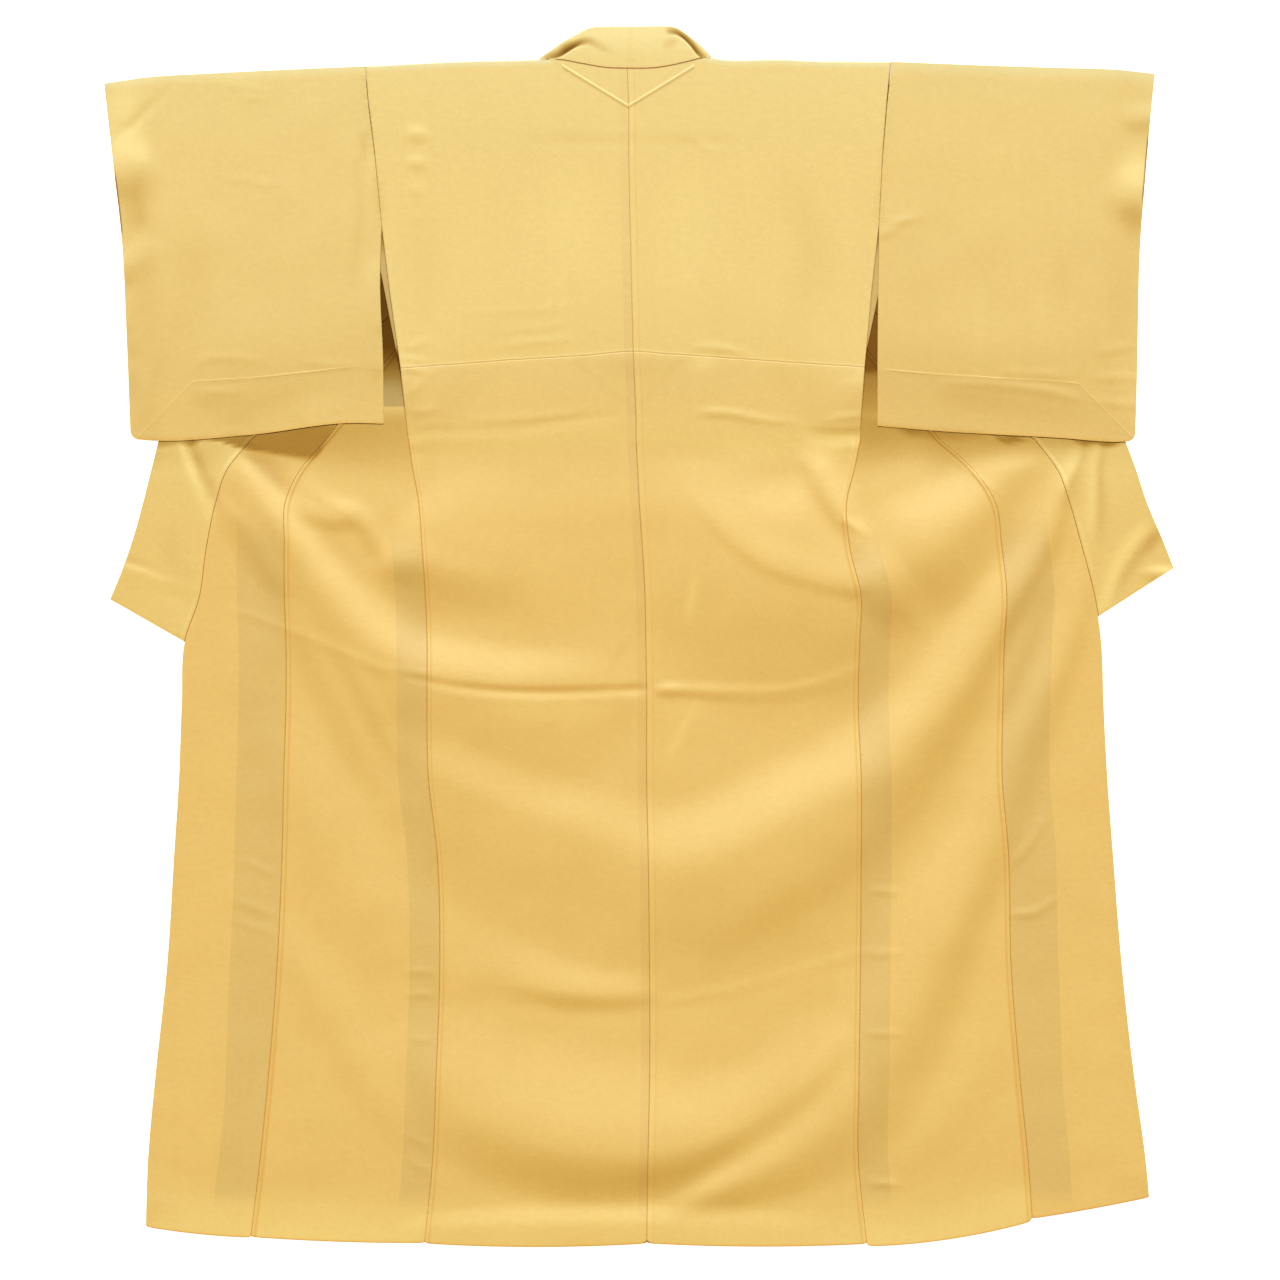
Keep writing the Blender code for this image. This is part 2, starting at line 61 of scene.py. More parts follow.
# Where each seam and edge of the skirt lies, from below the sleeves down to the hem.
Section = namedtuple("Section", "y l_edge l_overlap l_side centre r_side r_overlap r_edge")
SKIRT = (
    Section(263, -519, -419, -308, -3, 297, 404, 531),
    Section(223, -551, -453, -302, -1, 289, 449, 561),
    Section(183, -565, -472, -295, 1, 279, 476, 576),
    Section(123, -578, -474, -290, 5, 282, 486, 593),
    Section(49, -589, -474, -285, 9, 298, 493, 612),
    Section(-7, -608, -472, -283, 10, 296, 490, 620),
    Section(-85, -612, -472, -283, 11, 294, 488, 623),
    Section(-192, -616, -475, -281, 11, 298, 487, 628.5),
    Section(-286, -622, -477, -270, 13, 298, 495, 635.5),
    Section(-443, -632, -484, -266, 15, 297, 499, 648),
    Section(-594, -648, -496, -271, 15, 295, 511, 665),
    Section(-695, -657, -506, -275, 13, 294, 521, 679),
    Section(-818, -661, -521, -287, 11, 306, 530, 689.5),
)
SKIRT_TOP = SKIRT[0].y
HEM_Y = {"l_edge": -788.5, "l_overlap": -803, "l_side": -811, "centre": -811,
         "r_side": -812, "r_overlap": -778.5, "r_edge": -750}
HEM_SAG = {"back_left": 7.0, "back_right": 6.0, "front_left": 4.0, "front_right": 12.5,
           "overlap_left": 5.0, "overlap_right": 3.0}

# The same for the upper half of the backs, with the row where the waist tuck is sewn.
Yoke = namedtuple("Yoke", "side_y l_side r_side centre_y centre")
YOKE = (
    Yoke(756, -366, 338, 762, -15),
    Yoke(712, -362, 333, 714, -13),
    Yoke(641, -353, 327, 644, -13),
    Yoke(548, -344, 322, 549, -11),
    Yoke(458, -333, 312, 462, -9),
    Yoke(360, -319, 303, 382, -7),
    Yoke(276, -310, 297, 290, -3),
    Yoke(263, -308, 297, 263, -3),
)
TUCK_ROW = 5
TOP_EDGE = ((-366, 764), (-246, 770), (-133, 773), (-111, 774), (-74, 768), (-44, 763),
            (-15, 762), (25, 763), (62, 770), (89, 776), (113, 773), (190, 773),
            (257, 770), (338, 770))

# How each front turns over below the back: its slanting fold and the lines that lead to it.
Turn = namedtuple("Turn", "sign neck neck_edge edge knee side overlap_top overlap_top_edge gap_edge")
TURNS = {
    "left": Turn(-1, (-112, 771), (-58, 761), (-60, 747), (-159, 585), (-314, 330),
                 (-199, 549), (-240, 598), ((-352.5, 522), (-346, 491), (-329, 404))),
    "right": Turn(1, (90, 772), (46, 759), (45, 732), (131, 581), (294, 330),
                  (172, 549), (209, 605), ((327.5, 522), (323, 471), (310, 404))),
}

# Every fold is a ridge, or a trough where its height is below 0. Each row is a bend of it:
# x, y, height and the width of its slopes, or the widths above and below it where they differ.
# The folds are soft and wide, and the creases are crisp.
SKIRT_FOLDS = {
    "waist swag": (
        (-562, 262, 0, 30, 24), (-538, 226, 2.8, 36, 44), (-503, 180, 4.6, 38, 60),
        (-470, 134, 6.5, 38, 62), (-432, 74, 6.8, 48, 70), (-397, 26, 7, 58, 84),
        (-355, -18, 7.1, 66, 100), (-310, -46, 7, 68, 140), (-250, -58, 7, 66, 185),
        (-180, -65, 6, 62, 185), (-110, -67, 4, 58, 175), (-40, -66, 1.8, 52, 120),
        (20, -64, 0, 40, 60)),
    "waist upper left": (
        (-350, 116, 0, 60, 40), (-322, 106, 3.2, 90, 60), (-288, 98, 4.6, 130, 72),
        (-240, 94, 4.2, 150, 76), (-190, 88, 2.8, 150, 74), (-140, 80, 1.3, 140, 70),
        (-85, 72, 0.4, 120, 70), (-30, 66, 0, 100, 70)),
    "gap ridge left": (
        (-470, 190, 0, 20), (-440, 165, 1.5, 34, 18), (-405, 156, 2.1, 36, 16),
        (-380, 158, 2.3, 30, 16), (-365, 145, 1.9, 26, 16), (-350, 120, 1.4, 20, 16),
        (-335, 98, 0, 16, 14)),
    "gap ridge left small": (
        (-455, 205, 0, 12, 10), (-430, 190, 0.76, 14, 10), (-400, 172, 0.76, 16, 12),
        (-370, 166, 0, 14, 10)),
    "seam ridge left": (
        (-362, 92, 0, 16, 14), (-340, 92, 0.92, 26, 24), (-315, 96, 1.4, 32, 34),
        (-292, 100, 1.2, 34, 40), (-268, 92, 0.68, 30, 40), (-220, 84, 0.35, 26, 40),
        (-160, 78, 0, 20, 30)),
    "waist swag right": (
        (20, 240, 0, 60), (70, 178, 2.4, 95), (120, 122, 5.6, 140, 175), (172, 86, 8, 180, 205),
        (238, 66, 8.6, 170, 190), (290, 58, 7.8, 140, 165), (330, 68, 4.2, 90, 95),
        (362, 90, 0, 60, 50)),
    "notch": (
        (212, 275, 0, 50, 18), (232, 232, 2.4, 50, 22), (254, 192, 3.7, 46, 24),
        (274, 160, 3.7, 36, 22), (292, 134, 2.7, 28, 20), (308, 106, 0, 24, 18)),
    "gap swag right": (
        (290, 40, 0, 60), (317, 70, 3.4, 90, 92), (350, 92, 6.8, 95, 96), (385, 114, 8.6, 95, 96),
        (425, 148, 7, 84, 76), (462, 184, 4.4, 60, 52), (500, 222, 3, 50, 40),
        (550, 256, 0, 36, 24)),
    "hip swag": (
        (-335, -120, 0, 50, 60), (-290, -180, 2.9, 60, 110), (-240, -206, 4.4, 66, 150),
        (-170, -237, 4.7, 70, 165), (-100, -260, 4.6, 74, 170), (-30, -286, 4.7, 82, 170),
        (30, -308, 6.1, 90, 180), (90, -304, 8.4, 98, 185), (150, -284, 9.6, 102, 180),
        (220, -248, 9.8, 102, 165), (280, -215, 9.5, 98, 125), (330, -182, 9.1, 90, 95),
        (370, -140, 8.5, 82, 76), (410, -92, 8, 74, 60), (440, -48, 7.5, 68, 50),
        (470, 2, 6.8, 62, 42), (500, 48, 6.1, 56, 36), (525, 88, 5.2, 46, 30),
        (545, 126, 4.4, 38, 26), (560, 165, 3.6, 32, 22), (576, 208, 2.4, 26, 20),
        (597, 258, 0, 22, 18)),
    "hip second": (
        (60, -418, 0, 50), (110, -392, 0.91, 60, 50), (170, -356, 1.4, 66, 50),
        (230, -316, 1.4, 66, 50), (285, -276, 0.91, 60, 50), (325, -240, 0, 50, 40)),
    "side swag": (
        (40, -768, 0, 22), (75, -755, 2.1, 28, 26), (115, -738, 3.8, 36, 40), (155, -720, 4.1, 50),
        (200, -697, 4.5, 60, 62), (250, -660, 4.8, 76, 78), (300, -607, 5.3, 98, 88),
        (340, -548, 6.2, 108, 80), (375, -486, 6.6, 108, 70), (412, -402, 7, 100, 58),
        (444, -335, 6.1, 86, 50), (466, -285, 5.2, 70, 46), (490, -205, 4.4, 52, 50),
        (518, -135, 4.2, 44, 46), (548, -72, 3.8, 40, 36), (578, 2, 2.9, 34, 28),
        (598, 80, 1.9, 28, 24), (612, 160, 0.91, 22, 20), (618, 220, 0, 20)),
    "okumi dent right": (
        (486, -110, 0, 16), (494, -68, 1.4, 18, 22), (508, -20, 1.9, 20, 24),
        (524, 20, 1.5, 18, 20), (545, 66, 1.1, 14, 16), (562, 100, 0, 12)),
    "hem swag": (
        (-335, -520, 0, 70, 53), (-300, -562, 2.1, 100, 74), (-260, -604, 4, 128, 88),
        (-200, -650, 5.8, 146, 90), (-150, -672, 7.1, 156, 84), (-100, -686, 8.2, 158, 80),
        (-50, -693, 8.4, 152, 74), (0, -695, 8.3, 144, 68), (50, -690, 7.2, 128, 60),
        (100, -674, 5.8, 106, 48), (150, -650, 4.8, 92, 42), (200, -614, 3.8, 80, 38),
        (248, -566, 2.3, 72, 34), (282, -522, 0, 60, 30)),
    "seat swag": (
        (-490, -90, 0, 60, 50), (-455, -175, 1.8, 80, 60), (-425, -248, 2.6, 96, 70),
        (-392, -316, 2.2, 104, 96), (-350, -378, 2, 104), (-300, -420, 1.1, 96, 90),
        (-250, -440, 0.8, 84, 66), (-200, -452, 1.1, 70, 46), (-150, -466, 2.1, 56, 30),
        (-100, -478, 2.7, 48, 24), (-50, -482, 2.4, 42, 22), (0, -481, 1.7, 36, 20),
        (22, -480, 0.61, 30, 18), (40, -480, 0, 20, 16)),
    "front low left": (
        (-495, -370, 0, 40, 36), (-455, -430, 0.9, 50, 42), (-420, -490, 1.3, 56, 46),
        (-385, -552, 1.5, 56, 46), (-350, -610, 1.4, 50, 42), (-312, -664, 1.1, 44, 36),
        (-275, -712, 0, 36, 30)),
    "front line left": (
        (-478, 60, 0, 26), (-455, 10, 1.5, 30, 34), (-425, -44, 2.3, 30, 38),
        (-395, -100, 2.4, 30, 40), (-368, -160, 1.9, 30, 36), (-345, -215, 0, 26, 30)),
    "front second left": (
        (-425, 0, 0, 20), (-395, -30, 1.1, 24, 26), (-365, -80, 1.5, 24, 28),
        (-340, -130, 1.1, 24, 26), (-320, -170, 0, 20)),
    "collar to front left": (
        (-575, 190, 0, 24, 18), (-545, 158, 1.4, 28, 24), (-512, 116, 1.9, 28, 30),
        (-490, 84, 1.7, 24, 28), (-470, 50, 0, 20)),
    "front low right": (
        (345, -730, 0, 40, 36), (385, -680, 0.8, 50, 46), (432, -608, 1.1, 60, 54),
        (470, -540, 0.9, 60, 50), (505, -470, 0, 50, 40)),
}
SKIRT_CREASES = {
    "waist groove": (
        (-352, -42, 0, 6), (-320, -50, -0.44, 6), (-285, -60, -0.7, 7, 6), (-230, -68, -1.2, 6, 11),
        (-160, -73, -1.5, 6, 13), (-90, -73, -1.4, 6, 13), (-30, -71, -1.1, 6, 11),
        (8, -70, -0.7, 6, 8), (14, -70, 0, 6)),
    "waist crease left": (
        (-560, 38, 0, 9, 10), (-530, 32, 0.3, 9, 10), (-480, 13, 0.36, 9, 10),
        (-430, -6, 0.36, 9, 11), (-380, -28, 0.4, 10, 12), (-340, -44, 0.51, 9, 12),
        (-290, -50, 0.4, 9, 8), (-262, -54, 0, 8)),
    "waist crease right": (
        (20, -71, 0, 7, 9), (26, -71, 0.77, 9, 11), (70, -72, 1.1, 13, 12), (100, -74, 1.1, 14),
        (130, -74, 0.84, 12, 18), (190, -72, 0.7, 10, 20), (240, -62, 0.56, 10, 22),
        (290, -44, 0.35, 12, 22), (320, -30, 0, 12, 20)),
    "waist step right": (
        (60, 200, 0, 30, 14), (85, 172, 0.5, 36, 18), (127, 130, 0.9, 40, 20),
        (172, 98, 1.1, 44, 20), (238, 76, 1.1, 40, 20), (290, 66, 1.1, 36, 18),
        (325, 72, 0, 30, 18)),
    "notch dent": (
        (268, 160, 0, 9), (282, 152, 1.1, 10, 9), (298, 140, 0.88, 10, 9), (308, 128, 0, 9, 8)),
    "gap line right": (
        (405, 252, 0, 6), (425, 236, 0.35, 6), (470, 200, 0.35, 6), (482, 190, 0, 6)),
    "hem roll": (
        (-330, -800, 0, 20, 60), (-270, -796, 1.1, 28, 80), (-200, -792, 1.9, 32, 80),
        (-100, -790, 2.3, 34, 80), (0, -790, 2.3, 34, 80), (70, -790, 1.9, 34, 80),
        (130, -792, 1.4, 34, 80), (200, -796, 0.7, 28, 80), (260, -800, 0, 20, 60)),
    "side band wrinkle": (
        (-318, -452, 0, 7), (-308, -449, 0.42, 7), (-280, -449, 0.42, 7), (-268, -449, 0, 7)),
    "side band wrinkle two": (
        (-314, -478, 0, 7), (-304, -479, 0.42, 7), (-280, -480, 0.35, 7), (-270, -481, 0, 7)),
    "side band wrinkle three": (
        (-312, -539, 0, 7), (-303, -539, 0.28, 7), (-282, -540, 0.28, 7), (-274, -540, 0, 7)),
    "side band wrinkle four": (
        (-318, -660, 0, 7), (-308, -667, 0.28, 7), (-286, -681, 0.28, 7), (-278, -686, 0, 7)),
    "side band wrinkle five": (
        (-318, -696, 0, 7), (-308, -702, 0.28, 7), (-282, -716, 0.28, 7), (-274, -720, 0, 7)),
    "side band wrinkle right": (
        (302, -338, 0, 7), (312, -340, 0.35, 7), (346, -342, 0.35, 7), (356, -342, 0, 7)),
    "side band wrinkle right two": (
        (302, -426, 0, 7), (312, -426, 0.31, 7), (346, -424, 0.31, 7), (356, -424, 0, 7)),
    "side band wrinkle right three": (
        (298, -530, 0, 7), (308, -531, 0.31, 7), (346, -532, 0.31, 7), (354, -532, 0, 7)),
    "side band wrinkle right four": (
        (302, -730, 0, 8), (314, -732, 0.53, 8), (346, -734, 0.53, 8), (358, -735, 0, 8)),
    "wide band wrinkle": (
        (-545, -296, 0, 8), (-532, -300, 0.21, 8), (-492, -316, 0.26, 8), (-480, -320, 0, 8)),
    "wide band wrinkle two": (
        (-548, -350, 0, 8), (-536, -354, 0.24, 8), (-492, -372, 0.26, 8), (-480, -376, 0, 8)),
    "wide band wrinkle three": (
        (-548, -378, 0, 8), (-536, -382, 0.21, 8), (-494, -398, 0.21, 8), (-484, -402, 0, 8)),
    "wide band wrinkle right": (
        (498, -310, 0, 9), (508, -298, 0.62, 10, 9), (530, -270, 0.62, 10, 9), (545, -240, 0.35, 9),
        (550, -226, 0, 8)),
    "wide band wrinkle right two": (
        (498, -372, 0, 8), (508, -372, 0.7, 9, 8), (530, -370, 0.7, 9, 8), (555, -354, 0.53, 9, 8),
        (566, -346, 0, 8)),
    "collar turn left": (
        (-700, 98, 0, 6, 20), (-686, 93, 0.74, 6, 30), (-662, 86, 0.74, 6, 30),
        (-644, 77, 0.55, 8, 28), (-618, 69, 0.31, 12, 24), (-590, 58, 0.13, 14, 20),
        (-580, 54, 0, 12, 20)),
    "collar tip right": (
        (668, 84, 0, 9), (690, 85, 1.2, 10, 12), (712, 84, 1.4, 10, 12), (724, 83, 0.53, 9, 10)),
    "seat line right": (
        (20, -492, 0, 9), (45, -487, 0.26, 10, 12), (100, -478, 0.31, 12, 14),
        (160, -464, 0.22, 12, 14), (240, -440, 0.22, 12, 14), (300, -424, 0.26, 12, 14),
        (345, -412, 0, 10, 12)),
}
YOKE_CREASES = {
    "ladder": (
        (-314, 672, 0, 13, 12), (-306, 672, 0.7, 15, 14), (-296, 672, 1, 16, 15),
        (-286, 672, 0.7, 15, 14), (-280, 672, 0, 13, 12)),
    "ladder two": (
        (-314, 634, 0, 12, 11), (-304, 634, 0.6, 14, 13), (-296, 634, 0.8, 15, 14),
        (-288, 634, 0.6, 14, 13), (-280, 634, 0, 12, 11)),
    "ladder three": (
        (-310, 597, 0, 11), (-297, 597, 0.45, 13, 12), (-284, 597, 0, 11)),
    "ladder four": (
        (-308, 562, 0, 11), (-297, 562, 0.25, 12), (-286, 562, 0, 11)),
    "waist wrinkle": (
        (-250, 430, 0, 9), (-190, 436, 0.14, 9, 10), (-120, 440, 0.16, 9, 10), (-60, 448, 0, 9)),
    "waist wrinkle two": (
        (-215, 408, 0, 8), (-170, 412, 0.14, 8, 9), (-120, 416, 0.18, 8, 9), (-84, 424, 0, 8)),
    "waist wrinkle three": (
        (-200, 386, 0, 8), (-160, 392, 0.3, 8), (-120, 396, 0.35, 8), (-80, 396, 0, 8)),
    "waist edge": (
        (-330, 372, 0, 7), (-312, 371, 0.7, 7), (-295, 369, 0.5, 7), (-278, 366, 0, 7)),
    "waist edge two": (
        (-328, 361, 0, 7), (-310, 360, 0.8, 7), (-292, 355, 0.6, 7), (-272, 350, 0, 7)),
    "waist edge three": (
        (-322, 385, 0, 7), (-305, 388, 0.4, 7), (-286, 394, 0.3, 7), (-275, 398, 0, 7)),
    "waist edge four": (
        (-312, 322, 0, 8), (-300, 330, 0.5, 8), (-288, 342, 0.5, 8), (-280, 352, 0, 8)),
    "waist edge five": (
        (-312, 304, 0, 8), (-298, 302, 0.5, 8), (-276, 304, 0.4, 8), (-262, 307, 0, 8)),
    "band foot left": (
        (-312, 268, 0, 7, 8), (-280, 274, -0.5, 7, 8), (-230, 275, -0.3, 7, 8),
        (-150, 281, -0.6, 7, 8), (-110, 287, -0.5, 7, 8), (-60, 294, -0.3, 7, 8),
        (-12, 299, 0, 7, 8)),
    "band foot left high": (
        (-240, 290, 0, 7), (-180, 292, 0.3, 7), (-120, 296, 0.3, 7), (-60, 302, 0, 7)),
    "band foot right": (
        (76, 300, 0, 7, 8), (96, 301, 0.9, 7, 9), (125, 299, 1, 7, 9), (160, 292, 0.8, 7, 9),
        (200, 288, 0.4, 7, 9), (225, 284, 0, 7, 8)),
    "band foot right end": (
        (216, 274, 0, 7, 14), (240, 273, -0.8, 7, 20), (270, 272, -1.3, 7, 24),
        (292, 273, -1.3, 7, 24), (310, 274, 0, 7, 14)),
    "band foot right edge": (
        (240, 290, 0, 7), (262, 292, 0.5, 7), (296, 296, 0.6, 7), (310, 297, 0, 7)),
    "above tuck right": (
        (66, 386, 0, 8, 7), (90, 387, 0.6, 9, 7), (120, 384, 0.6, 9, 7), (150, 376, 0.2, 8, 7),
        (175, 372, 0, 8, 7)),
    "neck mark": (
        (60, 676, 0, 6), (72, 668, 0.4, 6), (93, 652, 0.4, 6), (100, 648, 0, 6)),
    "old fold": (
        (-165, 664, 0, 10), (-120, 665, -0.16, 12), (0, 663, -0.16, 12), (110, 664, -0.16, 12),
        (135, 664, 0, 10)),
}

# Painted shade (above 0) and painted light (below 0) of folds and hollows, with some of the cloth's own
# marks, written in the same way.
BACK_PAINTED_LIGHT_AND_TONES = {
    "sleeve crease left": (
        (-358, 680, 0.6, 6), (-366, 672, 1.6, 7), (-369, 640, 1.3, 6), (-371, 600, 1.1, 6),
        (-374, 550, 0.9, 6), (-379, 510, 0.7, 7), (-388, 462, 0, 8)),
    "crease shine left": (
        (-358, 656, 0, 6), (-358, 640, -1.2, 10), (-358, 620, -1, 9), (-360, 596, 0, 7)),
    "crease shine left low": (
        (-354, 520, 0, 9), (-354, 494, -1, 18), (-354, 462, 0, 10)),
    "armhole left": (
        (-366, 764, 0.5, 9), (-362, 712, 0.7, 9), (-354, 650, 0.4, 8), (-345, 560, 0.8, 8),
        (-344, 545, 0, 6)),
    "armhole edge left": (
        (-349, 420, 0, 6), (-349, 412, 1.2, 10), (-349, 398, 0, 6), (-346, 362, 0.2, 8),
        (-350, 352, 1.3, 16), (-344, 340, 0, 8)),
    "armhole right": (
        (335, 760, 0.2, 7), (332, 700, 0.4, 8), (326, 640, 0.5, 9), (322, 590, 0.7, 8),
        (320, 558, 0.8, 8), (320, 548, 0, 6)),
    "yoke left": (
        (-300, 600, 0, 40), (-290, 540, 0.35, 44), (-285, 460, 0.3, 44), (-285, 400, 0, 30)),
    "yoke right": (
        (190, 640, 0, 40), (205, 600, 0.35, 50), (235, 525, 0.6, 46), (215, 430, 0.3, 50),
        (210, 390, 0, 40)),
    "yoke middle": (
        (-100, 650, 0, 50), (-95, 600, -0.35, 80), (-90, 480, -0.3, 80), (-90, 410, 0, 50)),
    "yoke middle right": (
        (60, 650, 0, 50), (65, 600, -0.35, 70), (70, 480, -0.3, 70), (70, 410, 0, 50)),
    "yoke marks": (
        (-91, 494, 0, 4), (-91, 480, 0.7, 5), (-90, 460, 0.6, 5), (-90, 450, 0, 4)),
    "yoke marks right": (
        (83, 500, 0, 4), (86, 482, 0.6, 5), (91, 465, 0.5, 5), (92, 456, 0, 4)),
    "old fold": (
        (-165, 664, 0, 9), (-120, 665, 0.5, 10), (0, 663, 0.5, 10), (110, 664, 0.5, 10),
        (140, 664, 0, 9)),
    "band point left": (
        (-92, 376, 0, 5), (-80, 366, 0.6, 6), (-50, 340, 0.6, 6), (-10, 306, 0.5, 6)),
    "band point right": (
        (68, 378, 0, 5), (58, 370, 0.7, 6), (30, 342, 0.7, 6), (0, 308, 0.5, 6)),
    "band point": (
        (-66, 368, 0.1, 12), (-30, 362, 0.7, 18, 30), (10, 360, 0.7, 18, 34),
        (46, 368, 0.2, 12, 14)),
    "band shine": (
        (62, 364, 0, 8), (84, 366, -1, 16, 18), (112, 366, 0, 10)),
    "band right end": (
        (160, 350, 0, 14), (178, 346, 0.4, 24), (215, 345, 0, 14)),
    "waist edge right": (
        (300, 350, -0.9, 12), (285, 345, -0.8, 12), (262, 338, 0, 10)),
    "band foot left": (
        (-300, 252, 0, 8), (-260, 254, 0.6, 10), (-210, 256, 0.4, 10), (-170, 262, 0, 8)),
    "below waist crease": (
        (-230, -92, 0, 8, 24), (-170, -96, -0.45, 12, 32), (-60, -96, -0.6, 12, 38),
        (-12, -94, 0, 8, 24)),
    "waist glow right": (
        (92, 258, 0, 12, 16), (130, 254, -0.7, 20, 34), (172, 248, -0.6, 20, 34),
        (216, 252, -0.2, 14, 20), (262, 258, -0.7, 16, 24), (294, 258, -0.6, 14, 20)),
    "notch shadow": (
        (300, 60, 0, 20), (330, 22, 1.2, 44, 34), (362, 2, 0.6, 40, 34), (395, 0, 0, 24)),
    "slant mark": (
        (77, 92, 0, 3), (75, 80, -0.7, 5), (65, 18, -0.6, 5), (63, 8, 0, 3)),
    "slant mark low": (
        (78, -80, 0, 4), (73, -94, -0.7, 6), (40, -160, -0.6, 6), (34, -172, 0, 4)),
    "slant mark left": (
        (-10, 4, 0, 5), (-16, -8, 0.5, 7), (-38, -44, 0.5, 7), (-44, -56, 0, 5)),
}

BEND_STEPS = 6
MAP_STEP = 3.5
MAP_REACH = (-740.0, -840.0, 740.0, 840.0)
WAVE_COUNT = 16
SOFTENING = 4
FOLDS_START = 262.0
FOLDS_FULL = 222.0
BILLOW = 2.0
BILLOW_EDGE = 120.0
BILLOW_TOP = (250.0, 150.0)
BILLOW_HEM = (-815.0, -640.0)

SEAM_RISE = 0.5
CENTRE_STRIP = 7.5
SIDE_STRIP = 4.2
STRIP_SLOPE = 2.2
EDGE_ROUND = 0.7
TUCK_RISE = 0.3
TUCK_END = 140.0
TUCK_FADE = 60.0
SHARP_ANGLE = 0.9
MOST_TILT = 0.28


def smooth_step(value):
    value = np.clip(value, 0.0, 1.0)
    return value * value * (3.0 - 2.0 * value)


def hermite(knots, values, at):
    """Smooth curve through values at rising knots, read at the places in at."""
    knots = np.asarray(knots, float)
    values = np.asarray(values, float)
    slopes = np.gradient(values, knots, axis=0)
    at = np.clip(np.asarray(at, float), knots[0], knots[-1])
    left = np.clip(np.searchsorted(knots, at, side="right") - 1, 0, len(knots) - 2)
    width = knots[left + 1] - knots[left]
    t = (at - knots[left]) / width
    if values.ndim == 2:
        t = t[:, None]
        width = width[:, None]
    return ((2 * t**3 - 3 * t**2 + 1) * values[left] + (t**3 - 2 * t**2 + t) * width * slopes[left]
            + (3 * t**2 - 2 * t**3) * values[left + 1] + (t**3 - t**2) * width * slopes[left + 1])


def travelled(points):
    """Length of the way along a line of points, at each point."""
    steps = np.linalg.norm(np.diff(np.asarray(points, float), axis=0), axis=1)
    return np.concatenate(([0.0], np.cumsum(steps)))


def shares(count):
    return np.linspace(0.0, 1.0, count)


def lanes(first, last, step):
    """Rows of points from first to last, closer together beside both edges.

    Gives the points and their distances from the first edge and from the last one."""
    first = first + np.sign(last - first) * (SEAM_GAP / 2) * np.array((1.0, 0.0))
    last = last + np.sign(first - last) * (SEAM_GAP / 2) * np.array((1.0, 0.0))
    width = np.linalg.norm(last - first, axis=1)[:, None]
    beside = np.array(EDGE_STEPS)[None, :] * np.minimum(1.0, width / (3.0 * EDGE_STEPS[-1]))
    inner = beside[:, -1:]
    middle_count = max(2, int(np.median(width - 2.0 * inner) / step))
    middle = inner + (width - 2.0 * inner) * shares(middle_count + 1)[None, 1:-1]
    from_first = np.concatenate((beside, middle, width - beside[:, ::-1]), axis=1)
    share = (from_first / width)[..., None]
    return first[:, None] * (1.0 - share) + last[:, None] * share, from_first, width - from_first


def skirt_x(name, y):
    """Where a seam or an edge of the skirt is at the heights y."""
    heights = [section.y for section in reversed(SKIRT)]
    places = [getattr(section, name) for section in reversed(SKIRT)]
    return hermite(heights, places, y)


def seam(name, share):
    """Points of a seam at the given shares of the way from the sleeves down to the hem."""
    y = SKIRT_TOP + np.asarray(share) * (HEM_Y[name] - SKIRT_TOP)
    return np.stack((skirt_x(name, y), y), axis=-1)


def skirt_shares(name):
    return shares(int((SKIRT_TOP - HEM_Y[name]) / ROW_STEP) + 1)


def sag_hem(plan, rows, sag):
    """Lower the last rows of a panel between its two seams."""
    across = np.sin(np.pi * shares(plan.shape[1])) ** 0.7
    plan[-rows:, :, 1] -= sag * shares(rows)[:, None] ** 4 * across


def yoke_line(x_name, y_name, last=len(YOKE)):
    """Points down one edge of the yoke, a row apart, the same number for every edge."""
    points = []
    for upper, lower in zip(YOKE[:last - 1], YOKE[1:last]):
        count = max(2, int((upper.side_y - lower.side_y) / ROW_STEP))
        start = np.array((getattr(upper, x_name), getattr(upper, y_name)), float)
        end = np.array((getattr(lower, x_name), getattr(lower, y_name)), float)
        points += [start + (end - start) * step / count for step in range(count)]
    return np.array(points + [end])


def shoulder_height(x):
    top_x, top_y = np.array(TOP_EDGE, float).T
    return hermite(top_x, top_y, x)


def add_fold(heights, x, y, bends):
    """Add one fold to the heights at the places x, y. A bend with one width has it on both sides."""
    bends = np.array([(*bend, bend[-1])[:5] for bend in bends], float)
    along = travelled(bends[:, :2])
    bends = hermite(along, bends, shares(BEND_STEPS * len(bends)) * along[-1])
    points = bends[:, :2]
    reach = bends[:, 3:].max()
    near = ((x > points[:, 0].min() - reach) & (x < points[:, 0].max() + reach)
            & (y > points[:, 1].min() - reach) & (y < points[:, 1].max() + reach))
    run = np.diff(points, axis=0)
    to_point = np.stack((x[near], y[near]), axis=-1)[:, None] - points[:-1]
    share = np.clip(np.sum(to_point * run, axis=-1) / np.sum(run * run, axis=-1), 0.0, 1.0)
    distance = np.linalg.norm(to_point - share[..., None] * run, axis=-1)
    nearest = np.argmin(distance, axis=-1)
    row = np.arange(len(nearest))
    here = share[row, nearest][:, None]
    height, above, below = (bends[nearest, 2:] * (1.0 - here) + bends[nearest + 1, 2:] * here).T
    offset = to_point[row, nearest]
    left_of = run[nearest, 0] * offset[:, 1] - run[nearest, 1] * offset[:, 0] > 0.0
    width = np.where(left_of, above, below)
    heights[near] += height * smooth_step(1.0 - distance[row, nearest] / width)


def softened(heights):
    """The map with every value mixed with those beside it."""
    for axis in (0, 1):
        heights = heights / 2 + (np.roll(heights, 1, axis) + np.roll(heights, -1, axis)) / 4
    return heights


